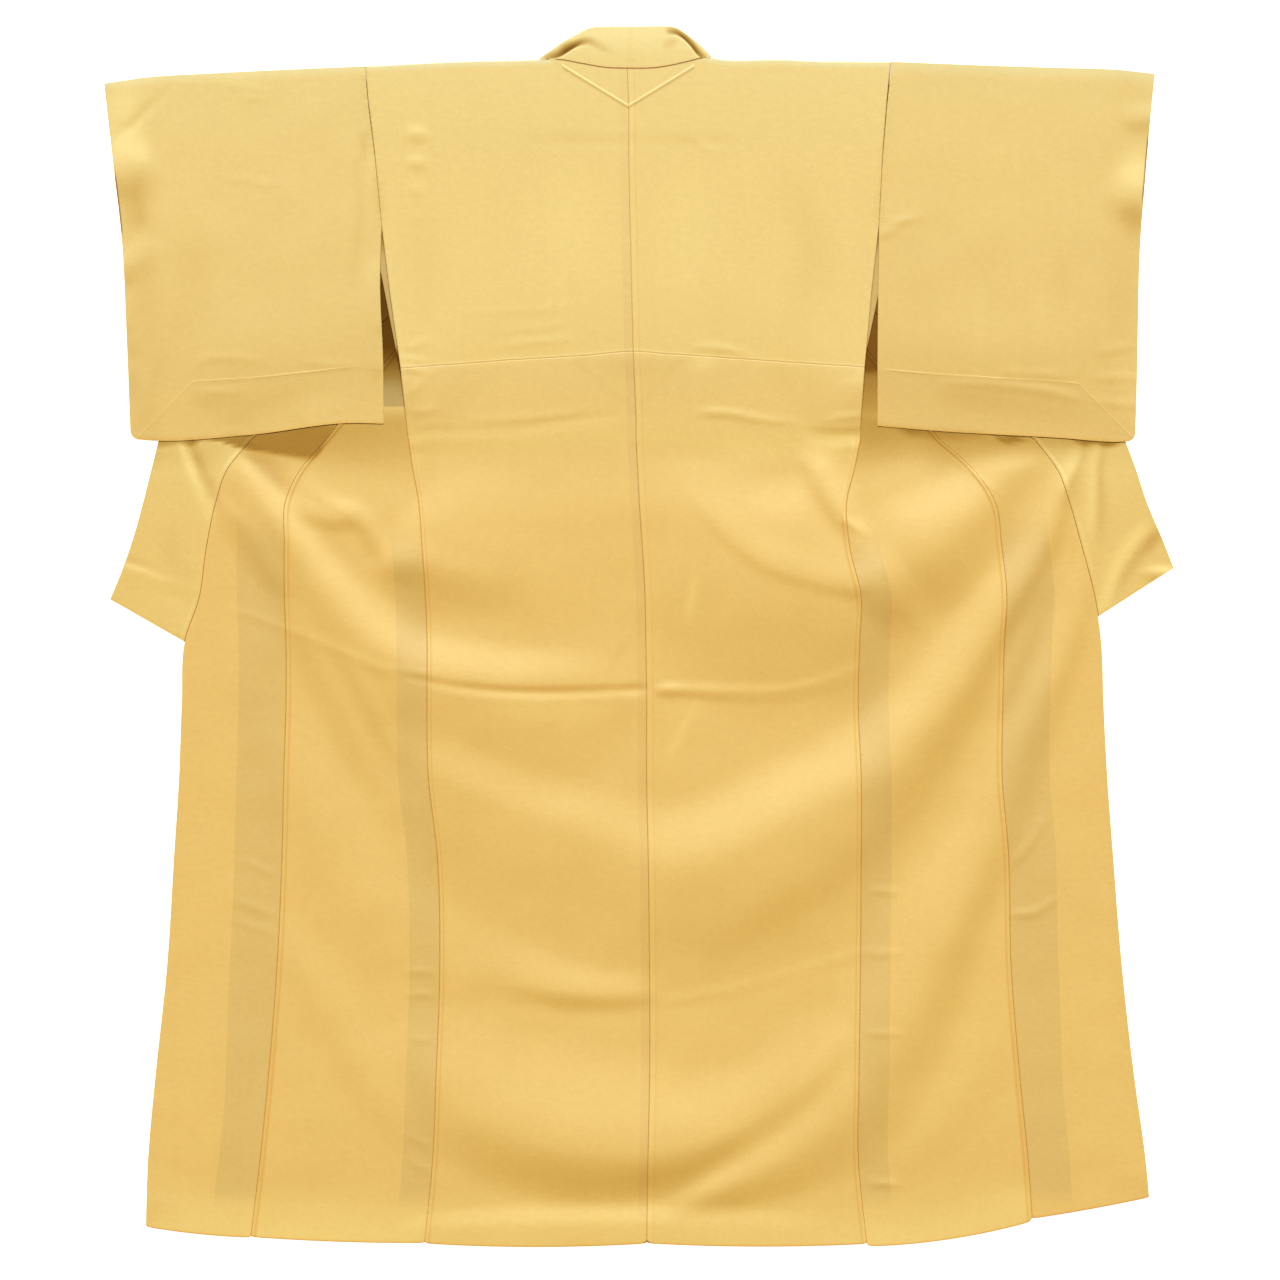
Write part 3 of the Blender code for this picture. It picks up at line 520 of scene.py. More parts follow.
def crease_map(creases):
    """Heights of all the creases over a grid of places."""
    x_places = np.arange(MAP_REACH[0], MAP_REACH[2], MAP_STEP)
    y_places = np.arange(MAP_REACH[1], MAP_REACH[3], MAP_STEP)
    x, y = np.meshgrid(x_places, y_places)
    heights = np.zeros_like(x)
    for bends in creases.values():
        add_fold(heights, x, y, bends)
    return heights


def fold_map(folds):
    """Heights of all the folds, softened so that they have no sharp line."""
    heights = crease_map(folds)
    for _ in range(SOFTENING):
        heights = softened(heights)
    return heights


def spline_weights(t):
    """Shares of four neighbours in a smooth curve at t between the middle two."""
    return ((1.0 - t) ** 3 / 6, (3 * t**3 - 6 * t**2 + 4) / 6,
            (-3 * t**3 + 3 * t**2 + 3 * t + 1) / 6, t**3 / 6)


def read_map(heights, x, y):
    """Smooth height of a map at the places x, y."""
    across = (x - MAP_REACH[0]) / MAP_STEP
    up = (y - MAP_REACH[1]) / MAP_STEP
    column = np.floor(across).astype(int)
    row = np.floor(up).astype(int)
    total = np.zeros_like(x)
    for row_step, row_weight in enumerate(spline_weights(up - row)):
        for column_step, column_weight in enumerate(spline_weights(across - column)):
            value = heights[row + row_step - 1, column + column_step - 1]
            total += row_weight * column_weight * value
    return total


def unevenness(x, y, seed, longest, height):
    """Slight waves of many lengths and directions, as in cloth that was carried folded."""
    chance = np.random.default_rng(seed)
    total = np.zeros_like(x)
    for _ in range(WAVE_COUNT):
        turn = chance.uniform(0.0, np.pi)
        size = chance.uniform(0.3, 1.0)
        phase = chance.uniform(0.0, 2.0 * np.pi)
        along = x * np.cos(turn) + y * np.sin(turn)
        total += size * np.sin(2.0 * np.pi * along / (size * longest) + phase)
    return height * total / np.sqrt(WAVE_COUNT)


def distance_beside(x, y, start, end):
    """Distance of (x, y) from the line start to end, positive on its left-hand side."""
    run_x = end[0] - start[0]
    run_y = end[1] - start[1]
    return (run_x * (y - start[1]) - run_y * (x - start[0])) / np.hypot(run_x, run_y)


def hanging_cover(turn, x, y):
    """1 where a front still hangs face down under the back, falling softly to 0 beside it."""
    beyond = -turn.sign * distance_beside(x, y, turn.edge, turn.side)
    return smooth_step(1.0 - beyond / LEVEL_RAMP)


def back_cover(x, y):
    """1 where the back lies flat over the hidden layers, falling softly to 0 in the skirt."""
    bare = 1.0 - smooth_step((y - BRIDGE_BOTTOM) / (BRIDGE_TOP - BRIDGE_BOTTOM))
    for turn in TURNS.values():
        bare = bare * (1.0 - hanging_cover(turn, x, y))
    return 1.0 - bare


def billow(x, y):
    """The skirt lies a little clear of the surface, but for its outer edges and the hem."""
    from_left = x - skirt_x("l_edge", y)
    from_right = skirt_x("r_edge", y) - x
    inside = smooth_step(from_left / BILLOW_EDGE) * smooth_step(from_right / BILLOW_EDGE)
    below = smooth_step((BILLOW_TOP[0] - y) / (BILLOW_TOP[0] - BILLOW_TOP[1]))
    above = smooth_step((y - BILLOW_HEM[0]) / (BILLOW_HEM[1] - BILLOW_HEM[0]))
    return BILLOW * inside * below * above


SKIRT_MAP = fold_map(SKIRT_FOLDS) + crease_map(SKIRT_CREASES)
UPPER_MAP = crease_map(YOKE_CREASES)
PAINTED_LIGHT_AND_TONE_MAP = softened(crease_map(BACK_PAINTED_LIGHT_AND_TONES))


def lowest_level(plan):
    """Underside of a layer that lies on the surface, where only the folds lift it."""
    x = plan[..., 0]
    y = plan[..., 1]
    fold = read_map(SKIRT_MAP, x, y) + unevenness(x, y, seed=3, longest=170.0, height=0.25)
    fold = fold * smooth_step((FOLDS_START - y) / (FOLDS_START - FOLDS_FULL)) + billow(x, y)
    return CLOTH_LIFT + np.maximum(fold, 0.0)


def top_level(plan):
    """Underside of the back, which covers two layers down to the waist."""
    x = plan[..., 0]
    y = plan[..., 1]
    return lowest_level(plan) + 2.0 * LAYER * back_cover(x, y) + read_map(UPPER_MAP, x, y)


def strip(distance, width):
    """Rise of the pressed fold beside a seam, with its rounded edge at the seam itself."""
    rise = SEAM_RISE * smooth_step(1.0 - (distance - width) / STRIP_SLOPE)
    return rise - rounded(distance, EDGE_ROUND)


def rounded(distance, radius):
    """How far a folded edge has curved down at a distance from it."""
    depth = np.clip(1.0 - distance / radius, 0.0, 1.0)
    return radius * (1.0 - np.sqrt(1.0 - depth * depth))


def raised(plan, z):
    return np.concatenate((plan, z[..., None]), axis=-1)


def grid_faces(rows, columns, start):
    corner = start + np.arange(rows - 1)[:, None] * columns + np.arange(columns - 1)[None, :]
    corner = corner.ravel()
    return np.stack((corner, corner + 1, corner + columns + 1, corner + columns), axis=1)


def rim_places(rows, columns):
    """Indexes of a grid's border, once round."""
    top = np.arange(columns)
    right = np.arange(1, rows) * columns + columns - 1
    bottom = (rows - 1) * columns + np.arange(columns - 2, -1, -1)
    left = np.arange(rows - 2, 0, -1) * columns
    return np.concatenate((top, right, bottom, left))


def new_piece(name, points, faces, marks):
    """One closed mesh in metres, smooth shaded, with its marks as attributes of the points."""
    mesh = bpy.data.meshes.new(name)
    mesh.from_pydata((points * MM).tolist(), [], faces)
    work = bmesh.new()
    work.from_mesh(mesh)
    bmesh.ops.recalc_face_normals(work, faces=work.faces)
    work.to_mesh(mesh)
    work.free()
    normals = np.zeros(points.shape)
    mesh.vertex_normals.foreach_get("vector", normals.ravel())
    # How far each point leans towards the key light; the material turns it into a painted sheen.
    painted_sheen_lean = normals[:, 1] / np.maximum(normals[:, 2], MOST_TILT)
    painted_sheen_lean = np.where(normals[:, 2] > 0.0, np.clip(painted_sheen_lean, -MOST_TILT, MOST_TILT), 0.0)
    # Painted shade and light of folds and hollows, with some of the cloth's own tones, read from their
    # map.
    tone = read_map(PAINTED_LIGHT_AND_TONE_MAP, points[:, 0], points[:, 1])
    for mark, values in (*marks.items(), ("tone", tone), ("painted_sheen_lean", painted_sheen_lean)):
        layer = mesh.attributes.new(mark, "FLOAT", "POINT")
        layer.data.foreach_set("value", np.asarray(values, np.float32))
    mesh.shade_smooth()
    mesh.set_sharp_from_angle(angle=SHARP_ANGLE)
    piece = bpy.data.objects.new(name, mesh)
    bpy.context.scene.collection.objects.link(piece)
    return piece


def cloth(name, face, reverse, marks):
    """A thin sheet between two grids of points, closed all round its edge."""
    rows, columns = face.shape[:2]
    count = rows * columns
    rim = rim_places(rows, columns)
    after = np.roll(rim, -1)
    edge = np.stack((rim, after, after + count, rim + count), axis=1)
    faces = np.concatenate((grid_faces(rows, columns, 0), grid_faces(rows, columns, count), edge))
    points = np.concatenate((face.reshape(-1, 3), reverse.reshape(-1, 3)))
    both = {mark: np.concatenate((values.ravel(), values.ravel())) for mark, values in marks.items()}
    both["reverse"] = np.repeat((0.0, 1.0), count)
    return new_piece(name, points, faces.tolist(), both)


def plug(tree, socket, value):
    """Link a value to a socket, or set it there where it is a plain number or colour."""
    if isinstance(value, Wire):
        tree.links.new(value.socket, socket)
    else:
        socket.default_value = value


class Wire:
    """A value in a material; arithmetic on it adds the Math nodes that work it out."""

    def __init__(self, tree, socket):
        self.tree = tree
        self.socket = socket

    def math(self, operation, *others):
        node = self.tree.nodes.new("ShaderNodeMath")
        node.operation = operation
        for place, value in enumerate((self, *others)):
            plug(self.tree, node.inputs[place], value)
        return Wire(self.tree, node.outputs[0])

    def __add__(self, other):
        return self.math("ADD", other)

    def __mul__(self, other):
        return self.math("MULTIPLY", other)

    def __sub__(self, other):
        return self.math("SUBTRACT", other)

    def __rsub__(self, other):
        return (self * -1.0).math("ADD", other)

    __radd__ = __add__
    __rmul__ = __mul__


class Dye:
    """One material and the nodes that make it."""

    def __init__(self, name):
        self.material = bpy.data.materials.new(name)
        self.material.use_nodes = True
        self.tree = self.material.node_tree
        self.shader = self.tree.nodes["Principled BSDF"]
        self.lines = None
        self.shade = None

    def node(self, kind, output, settings=None, numbered=(), **named):
        """A node of a kind, its settings made first, then its sockets' values or links."""
        node = self.tree.nodes.new("ShaderNode" + kind)
        for setting, value in (settings or {}).items():
            setattr(node, setting, value)
        for place, value in numbered:
            plug(self.tree, node.inputs[place], value)
        self.fill(node, named)
        return Wire(self.tree, node.outputs[output])

    def fill(self, node, named):
        """Give a node's sockets their values or links, with _ for a space in a socket's name."""
        for name, value in named.items():
            plug(self.tree, node.inputs[name.replace("_", " ")], value)

    def place(self, axis):
        """Where a point of the piece is along an axis, in millimetres."""
        object_place = self.node("TexCoord", "Object")
        return self.node("SeparateXYZ", axis, Vector=object_place) * (1.0 / MM)

    def mark(self, name):
        return self.node("Attribute", "Fac", {"attribute_name": name})

    def step(self, value, start, end):
        """0 before start, 1 after end and a soft change between them."""
        return self.node("MapRange", "Result", {"interpolation_type": "SMOOTHSTEP"},
                         Value=value, From_Min=start, From_Max=end)

    def between(self, value, start, end, soft):
        """1 between start and end, with soft edges outside them."""
        return self.step(value, start - soft, start) * (1.0 - self.step(value, end, end + soft))

    def tint(self, colour, mask, tone):
        """The colour multiplied by a tone where the mask is 1."""
        return self.mix("MULTIPLY", mask, colour, tone)

    def mix(self, blend, mask, first, second):
        return self.node("Mix", 2, {"data_type": "RGBA", "blend_type": blend},
                         zip((0, 6, 7), (mask, first, second)))

    def mix_shaders(self, mask, other):
        """Show the other shader where the mask is 1."""
        own = Wire(self.tree, self.shader.outputs[0])
        mixed = self.node("MixShader", 0, None, enumerate((mask, own, other)))
        plug(self.tree, self.tree.nodes["Material Output"].inputs["Surface"], mixed)

    def add_line(self, line):
        """Add a sewn or pressed line to those that stand up from the cloth."""
        self.lines = line if self.lines is None else self.lines + line

    def shaded(self, colour):
        """The colour in shade, darker and warmer the deeper the shade is."""
        light = self.shade * SHADOW_DEPTH + 1.0
        green, blue = (light.math("POWER", power) for power in SHADOW_POWERS)
        tone = self.node("CombineColor", "Color", Red=light, Green=green, Blue=blue)
        return self.tint(colour, 1.0, tone)

    def puckers(self, distance):
        """Small waves of the cloth along a seam."""
        place = self.node("TexCoord", "Object")
        wave = self.node("TexNoise", "Fac", Vector=place, Scale=PUCKER_PER_METRE, Detail=1.0)
        return wave * (1.0 - self.step(distance, 0.0, PUCKER_REACH))

    def set(self, **named):
        self.fill(self.shader, named)


SILK = (0.810, 0.514, 0.118, 1.0)
# The upper part's colour is paler and whiter: a painted sheen that grows towards the collar.
SILK_UPPER_PAINTED_SHEEN = (0.860, 0.619, 0.191, 1.0)
SILK_WRONG_SIDE = (0.78, 0.74, 0.70, 1.0)
ALLOWANCE = (0.905, 0.917, 0.98, 1.0)
SILK_ROUGHNESS = 0.55
SILK_SPECULAR = 1.0
GRAIN_PER_METRE = 700.0
MOTTLE_PER_METRE = 120.0
CREPE_PER_METRE = 1500.0
CLOUD_PER_METRE = 7.0
BARS_PER_METRE = (70.0, 3.0, 3.0)
UPPER_START = 120.0
UPPER_FULL = 420.0
# How the map of painted shade, painted light and tones tints each channel.
PAINTED_LIGHT_AND_TONE_STRENGTH = (-0.07, -0.105, -0.19)
# How strongly the lean towards the key light whitens each channel: a painted sheen.
PAINTED_SHEEN = (0.0, 0.5, 1.7)
SHADOW_DEPTH = -0.76
SHADOW_POWERS = (1.35, 1.95)
DULLING = 2.5
LINE_RISE = 0.0007
PUCKER_PER_METRE = 140.0
PUCKER_REACH = 15.0
HEM_DEPTH = 49.0
HEM_GLOW = (14.0, 85.0)
BACK_HEM_GLOW = 0.65
BAND_DEPTH = 83.0
BAND_WAVE = 5.0
BAND_WAVES_PER_METRE = 12.0
NECK_STAY = (-13.6, 710.0)
NECK_STAY_SLOPE = 0.61
NECK_STAY_END = 90.0
NECK_CENTRE = -12.0
NAPE_END = 96.0
SHOULDER_START = 100.0
NECK_HALF = 106.0
SHOULDER_FALL = 4.8
SHOULDER_WALL = 1.2
JOIN_START = 345.0
JOIN_RUN = 95.0
JOIN_WIDTH = 36.0
JOIN_CLEARANCE = 0.7
STAY_START = 245.0
STAY_RUN = 12.0


def silk(name, paint, *details):
    """Plain woven crepe: the piece's own tones with its painted shade and light, a painted sheen towards
    the collar and on slopes facing the key light, slight clouds of dye, grain and a soft gloss.
    """
    dye = Dye(name)
    y = dye.place("Y")
    # A painted sheen, paler and whiter towards the collar.
    colour = dye.mix("MIX", dye.step(y, UPPER_START, UPPER_FULL), SILK, SILK_UPPER_PAINTED_SHEEN)
    colour = dye.tint(colour, dye.step(y, 600.0, 780.0), (1.01, 1.05, 1.13, 1.0))
    colour = paint(dye, colour, *details)
    # Painted shade and light from the map, and a painted sheen that whitens slopes facing the key light.
    painted_light_and_tone = dye.mark("tone")
    painted_sheen_lean = dye.mark("painted_sheen_lean")
    red, green, blue = (painted_light_and_tone * strength + painted_sheen_lean * sheen_per_lean + 1.0
                        for strength, sheen_per_lean in zip(PAINTED_LIGHT_AND_TONE_STRENGTH, PAINTED_SHEEN))
    colour = dye.tint(colour, 1.0, dye.node("CombineColor", "Color", Red=red, Green=green, Blue=blue))
    colour = dye.tint(colour, dye.mark("reverse"), SILK_WRONG_SIDE)
    place = dye.node("TexCoord", "Object")
    cloud = dye.node("TexNoise", "Fac", Vector=place, Scale=CLOUD_PER_METRE, Detail=3.0)
    along = dye.node("Mapping", "Vector", Vector=place, Scale=BARS_PER_METRE)
    bar = dye.node("TexNoise", "Fac", Vector=along, Scale=1.0, Detail=2.0)
    grain = dye.node("TexNoise", "Fac", Vector=place, Scale=GRAIN_PER_METRE, Detail=2.0)
    mottle = dye.node("TexNoise", "Fac", Vector=place, Scale=MOTTLE_PER_METRE, Detail=3.0)
    bright = 0.835 + cloud * 0.05 + bar * 0.03 + mottle * 0.08 + grain * 0.17
    weave = dye.node("CombineColor", "Color", Red=bright, Green=bright, Blue=bright)
    colour = dye.tint(colour, 1.0, weave)
    crepe = dye.node("TexNoise", "Fac", Vector=place, Scale=CREPE_PER_METRE, Detail=1.0)
    rough = crepe * 0.5 + grain * 0.6 + mottle * 1.2
    bump = dye.node("Bump", "Normal", Strength=0.4, Distance=0.0004, Height=rough)
    if dye.lines is not None:
        bump = dye.node("Bump", "Normal", Strength=1.0, Distance=LINE_RISE, Height=dye.lines,
                        Normal=bump)
    dye.set(Base_Color=colour, Roughness=SILK_ROUGHNESS, Specular_IOR_Level=SILK_SPECULAR,
            Normal=bump)
    # Where shade is painted, a shader without gloss is mixed in, so the painted shade is dull too.
    if dye.shade is not None:
        painted_shade_shader = dye.node("BsdfPrincipled", "BSDF", Base_Color=colour, Roughness=1.0,
                        Specular_IOR_Level=0.0, Normal=bump)
        dye.mix_shaders((dye.shade * DULLING).math("MINIMUM", 1.0), painted_shade_shader)
    return dye.material


def neck_stay(dye, x, y):
    """The two slanting seams of the stay sewn inside the back of the neck."""
    beside = (x - NECK_STAY[0]).math("ABSOLUTE")
    above = (y - NECK_STAY[1] - beside * NECK_STAY_SLOPE) * np.cos(np.arctan(NECK_STAY_SLOPE))
    near = 1.0 - dye.step(beside, NECK_STAY_END - 3.0, NECK_STAY_END)
    ridge = dye.between(above, -0.3, 0.8, 2.2)
    under = dye.between(above, -4.0, -2.4, 1.2)
    return ridge * near, under * near


def paint_neck(dye, colour, x):
    """The stay's seams with painted highlight and shade, the join under the collar, a painted highlight
    along the top of the shoulder beside it and painted shade on its steep edge.
    """
    below_top = dye.mark("below_top")
    ridge, under = neck_stay(dye, x, dye.place("Y"))
    # The stay's ridge is raised and has a painted highlight; the strip just below it has painted shade.
    dye.add_line(ridge * 0.7)
    colour = dye.tint(colour, ridge, (1.04, 1.05, 1.12, 1.0))
    colour = dye.tint(colour, under, (0.95, 0.90, 0.82, 1.0))
    beside = (x - NECK_CENTRE).math("ABSOLUTE")
    join = (1.0 - dye.step(below_top, 0.9, 2.3)) * (1.0 - dye.step(beside, NAPE_END, NAPE_END + 6.0))
    colour = dye.tint(colour, join, (0.32, 0.15, 0.02, 1.0))
    shoulder = dye.step(beside, SHOULDER_START, SHOULDER_START + 8.0)
    # A painted highlight along the rounded top of the shoulder.
    highlight_strength = (1.0 - dye.step(below_top, 1.0, 15.0)) * shoulder
    colour = dye.tint(colour, highlight_strength, (1.015, 1.055, 1.20, 1.0))
    # Painted shade on the shoulder's steep edge.
    wall = (1.0 - dye.step(below_top, 1.0, 1.8)) * shoulder
    return dye.tint(colour, wall, (0.80, 0.72, 0.60, 1.0))


def paint_waist(dye, colour, x):
    """The edge of the tuck with a painted highlight above it and painted shade under its fold, the darker
    band of the cloth inside it and painted light on the cloth below.
    """
    place = dye.node("TexCoord", "Object")
    wave = dye.node("TexNoise", "Fac", Vector=place, Scale=BAND_WAVES_PER_METRE)
    below_tuck = dye.mark("below_tuck") + (wave - 0.5) * BAND_WAVE
    # Painted light on the cloth below the band.
    foot = dye.between(below_tuck, BAND_DEPTH + 7.0, BAND_DEPTH + 25.0, 34.0)
    colour = dye.tint(colour, foot, (1.018, 1.035, 1.03, 1.0))
    inside = dye.step(below_tuck, -0.5, 0.5) * (1.0 - dye.step(below_tuck, BAND_DEPTH, BAND_DEPTH + 5.0))
    fading = 1.0 - dye.step(x, 60.0, 260.0) * 0.45
    colour = dye.tint(colour, inside * fading, (0.983, 0.97, 0.965, 1.0))
    # At the tuck's edge a groove with painted shade under the fold; above it a raised crest with a
    # painted highlight.
    edge = dye.between(below_tuck, 0.0, 0.8, 0.7)
    colour = dye.tint(colour, edge * 0.5, (0.86, 0.74, 0.54, 1.0))
    crest = dye.between(below_tuck, -2.0, -1.2, 0.8)
    dye.add_line(crest * 0.08 - edge * 0.25)
    return dye.tint(colour, crest * 0.25, (1.03, 1.04, 1.08, 1.0))


def paint_centre_seam(dye, colour, y, side):
    """The allowances lie to the left of the seam, and the right back is folded over it."""
    centre = dye.mark("from_last")
    notch = (1.0 - dye.step(dye.mark("above_hem"), 0.6, 3.6)) * (1.0 - dye.step(centre, 1.0, 7.0))
    colour = dye.tint(colour, notch, (0.42, 0.26, 0.10, 1.0))
    if side == "right":
        # The pressed fold beside the seam on the right is raised and carries a painted highlight.
        light = dye.between(centre, 1.5, 6.5, 1.0)
        colour = dye.tint(colour, light * 0.7, (1.03, 1.03, 1.08, 1.0))
        orange = dye.between(centre, 7.8, 9.0, 1.0)
        return dye.tint(colour, orange * 0.6, (0.98, 0.89, 0.72, 1.0))
    low = 1.0 - dye.step(y, 350.0, 700.0) * 0.6
    above_hem = dye.step(y, -795.0, -760.0)
    allowance = (1.0 - dye.step(centre, 11.0, 13.0)) * low * above_hem
    colour = dye.tint(colour, allowance, (0.945, 0.935, 0.975, 1.0))
    line = 1.0 - dye.step(centre, 0.4, 1.3)
    fading = 1.0 - dye.step(y, 250.0, 450.0) * 0.35
    return dye.tint(colour, line * fading, (0.76, 0.60, 0.30, 1.0))


def paint_hem(dye, colour, glow=1.0):
    """The hem is turned up inside, which makes a slightly lighter strip with a faint line."""
    above = dye.mark("above_hem")
    colour = dye.tint(colour, (1.0 - dye.step(above, *HEM_GLOW)) * glow, (1.045, 1.13, 1.24, 1.0))
    turned_up = 1.0 - dye.step(above, HEM_DEPTH - 1.0, HEM_DEPTH + 2.0)
    colour = dye.tint(colour, turned_up, (1.015, 1.02, 1.04, 1.0))
    edge = 1.0 - dye.step(above, 0.5, 1.8)
    return dye.tint(colour, edge, (0.82, 0.66, 0.40, 1.0))


def paint_back(dye, colour, side):
    x = dye.place("X")
    y = dye.place("Y")
    colour = paint_neck(dye, colour, x)
    colour = paint_waist(dye, colour, x)
    colour = paint_centre_seam(dye, colour, y, side)
    from_side = dye.mark("from_first")
    dye.add_line(dye.puckers(from_side) * dye.step(y, 520.0, 560.0) * 0.5)
    orange = dye.between(from_side, 4.2, 5.6, 1.0) * (1.0 - dye.step(y, 230.0, 300.0))
    colour = dye.tint(colour, orange, (0.97, 0.88, 0.70, 1.0))
    return paint_hem(dye, colour, BACK_HEM_GLOW)


def make_back(side):
    side_seam = side[0] + "_side"
    centre = yoke_line("centre", "centre_y")
    edge = yoke_line(side_seam, "side_y")
    share = skirt_shares("centre")
    centre = np.concatenate((centre[:-1], seam("centre", share)))
    edge = np.concatenate((edge[:-1], seam(side_seam, share)))
    plan, from_side, from_centre = lanes(edge, centre, COLUMN_STEP)
    top_y = shoulder_height(plan[0, :, 0])
    yoke_rows = len(centre) - len(share)
    down = shares(yoke_rows)[:, None]
    plan[:yoke_rows, :, 1] += (top_y - plan[0, :, 1]) * (1.0 - down) ** 3
    plan[1] = plan[0] + (plan[1] - plan[0]) * SHOULDER_WALL / ROW_STEP
    sag_hem(plan, len(share), HEM_SAG["back_" + side])
    x = plan[..., 0]
    y = plan[..., 1]
    across = from_centre / (from_centre + from_side)
    tuck = YOKE[TUCK_ROW]
    tuck_y = tuck.centre_y + (tuck.side_y - tuck.centre_y) * across
    below_tuck = tuck_y - y
    z = top_level(plan) + CLOTH
    tucked = smooth_step((below_tuck + 1.0) / 2.0)
    z += TUCK_RISE * tucked * smooth_step((TUCK_END - below_tuck) / TUCK_FADE)
    z += strip(from_side, SIDE_STRIP)
    z += strip(from_centre, CENTRE_STRIP) if side == "right" else -rounded(from_centre, EDGE_ROUND)
    below_top = shoulder_height(x) - y
    over_shoulder = np.where(np.abs(x - NECK_STAY[0]) > NECK_HALF, 1.0, 0.0)
    z -= SHOULDER_FALL * over_shoulder * smooth_step(1.0 - below_top / SHOULDER_WALL)
    joined = smooth_step((JOIN_START - y) / JOIN_RUN) * smooth_step(1.0 - from_side / JOIN_WIDTH)
    stays = JOIN_CLEARANCE * smooth_step((y - STAY_START) / STAY_RUN)
    z -= np.maximum(2.0 * LAYER * back_cover(x, y) - stays, 0.0) * joined
    face = raised(plan, z)
    reverse = raised(plan, z - CLOTH)
    marks = {"from_first": from_side, "from_last": from_centre, "below_tuck": below_tuck,
             "below_top": below_top, "above_hem": y - y[-1:]}
    piece = cloth("back_panel_" + side, face, reverse, marks)
    piece.data.materials.append(silk("silk_back_" + side, paint_back, side))
    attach(piece, "root")
    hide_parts("back_" + side)


for each_side in ("left", "right"):
    make_back(each_side)


# The two fronts
# Each is the other half of the length that makes its back. It runs on over the shoulder, is swung
# out sideways, turned over along a slanting fold under the back, and comes out below the sleeve
# with its face up. The allowances of its side seam show through as a darker band.

HANGING_ROWS = 24
HIDDEN_ROWS = 20
TUCKED_UNDER = 8.0
TUCKED_RUN = 25.0
SIDE_BAND = 41.0
ARMHOLE_SECTIONS = 3
COLLAR_EDGE = {
    "left": ((-643, 263), (-653, 223), (-663, 183), (-680, 123), (-692, 89), (-708, 50)),
    "right": ((652, 263), (667, 223), (680, 183), (705, 123), (712, 105), (717, 92)),
}

# Painted shade and light of the fronts, with some of their own tones, which run on over the overlaps and
# the collar.
FRONT_PAINTED_LIGHT_AND_TONES = {
    "sleeve left side": (
        (-668, 500, 0.5, 40, 60), (-662, 440, 0.7, 40, 70), (-660, 360, 0.7, 40, 80),
        (-668, 290, 0.6, 40, 60)),
    "hem corner left": (
        (-690, -772, 1.5, 40, 34), (-655, -768, 1.2, 38, 34), (-610, -776, 0, 24)),
    "hem corner right": (
        (700, -738, 1, 40, 34), (665, -740, 0.7, 34, 30), (625, -748, 0, 24)),
    "below sleeve left": (
        (-552, 262, 0, 12, 3), (-530, 246, 2, 24, 6), (-505, 224, 2.8, 36, 7),
        (-482, 202, 2.4, 32, 7), (-464, 186, 0, 12, 4)),
    "under sleeve left": (
        (-611, 257, -3.6, 9), (-605, 240, -3.9, 10), (-592, 206, -2.4, 11), (-577, 172, -1.3, 13),
        (-566, 140, 0, 10)),
    "under sleeve left dark": (
        (-601, 257, 3.1, 9), (-592, 240, 3.1, 10), (-580, 214, 2.4, 11), (-566, 184, 1.6, 10),
        (-556, 160, 0, 8)),
    "under sleeve left three": (
        (-566, 266, -0.8, 10), (-540, 250, -1.2, 11), (-522, 226, -0.9, 10), (-508, 206, 0, 8)),
    "collar left side": (
        (-650, 262, 0.6, 16), (-648, 236, 0.4, 16), (-650, 214, 0, 12)),
    "collar left low": (
        (-620, 160, 0, 14), (-628, 130, 0.5, 24), (-622, 104, 0.6, 26, 22), (-600, 84, 0.3, 16),
        (-590, 76, 0, 10)),
    "collar left end": (
        (-690, 76, -0.4, 18), (-655, 64, -0.5, 20), (-620, 42, -0.5, 20), (-602, 14, -0.3, 16)),
    "collar turn dark": (
        (-702, 108, 1.6, 5), (-686, 104, 1.8, 6), (-662, 97, 1.4, 6), (-640, 88, 0.7, 6),
        (-616, 80, 0.3, 6), (-600, 74, 0, 5)),
    "overlap dent left": (
        (-570, 186, 0, 6), (-560, 172, 0.4, 10, 8), (-534, 150, 0.8, 12), (-514, 126, 0.5, 12),
        (-500, 104, 0, 8)),
    "under sleeve right": (
        (593, 258, -1.8, 8), (587, 236, -2.1, 9), (573, 210, -1.4, 9), (562, 192, 0, 8)),
    "under sleeve right dark": (
        (598, 258, 2.7, 6), (593, 240, 2.9, 8), (582, 210, 2.2, 9), (574, 186, 1.1, 9),
        (568, 170, 0, 8)),
    "under sleeve right two": (
        (617, 258, -1.8, 8), (612, 236, -1.9, 9), (609, 196, -1.4, 10), (606, 156, -0.9, 11),
        (606, 124, 0, 10)),
    "under sleeve right dark two": (
        (623, 258, 2.2, 6), (618, 230, 2.7, 8), (620, 182, 2.2, 10), (619, 150, 1.4, 10),
        (616, 120, 0, 9)),
    "collar right fold": (
        (684, 158, 0, 11), (672, 140, -1.8, 15), (650, 110, -2, 18), (634, 74, -2, 16),
        (622, 40, -1.4, 13)),
    "collar right fold dark": (
        (700, 142, 2.7, 10), (690, 131, 3.4, 15), (668, 106, 2.2, 16), (648, 76, 2, 14),
        (640, 56, 0.9, 10)),
    "collar right tip": (
        (680, 92, 0, 6), (696, 92, -1.4, 8), (716, 92, -1.4, 8)),
}

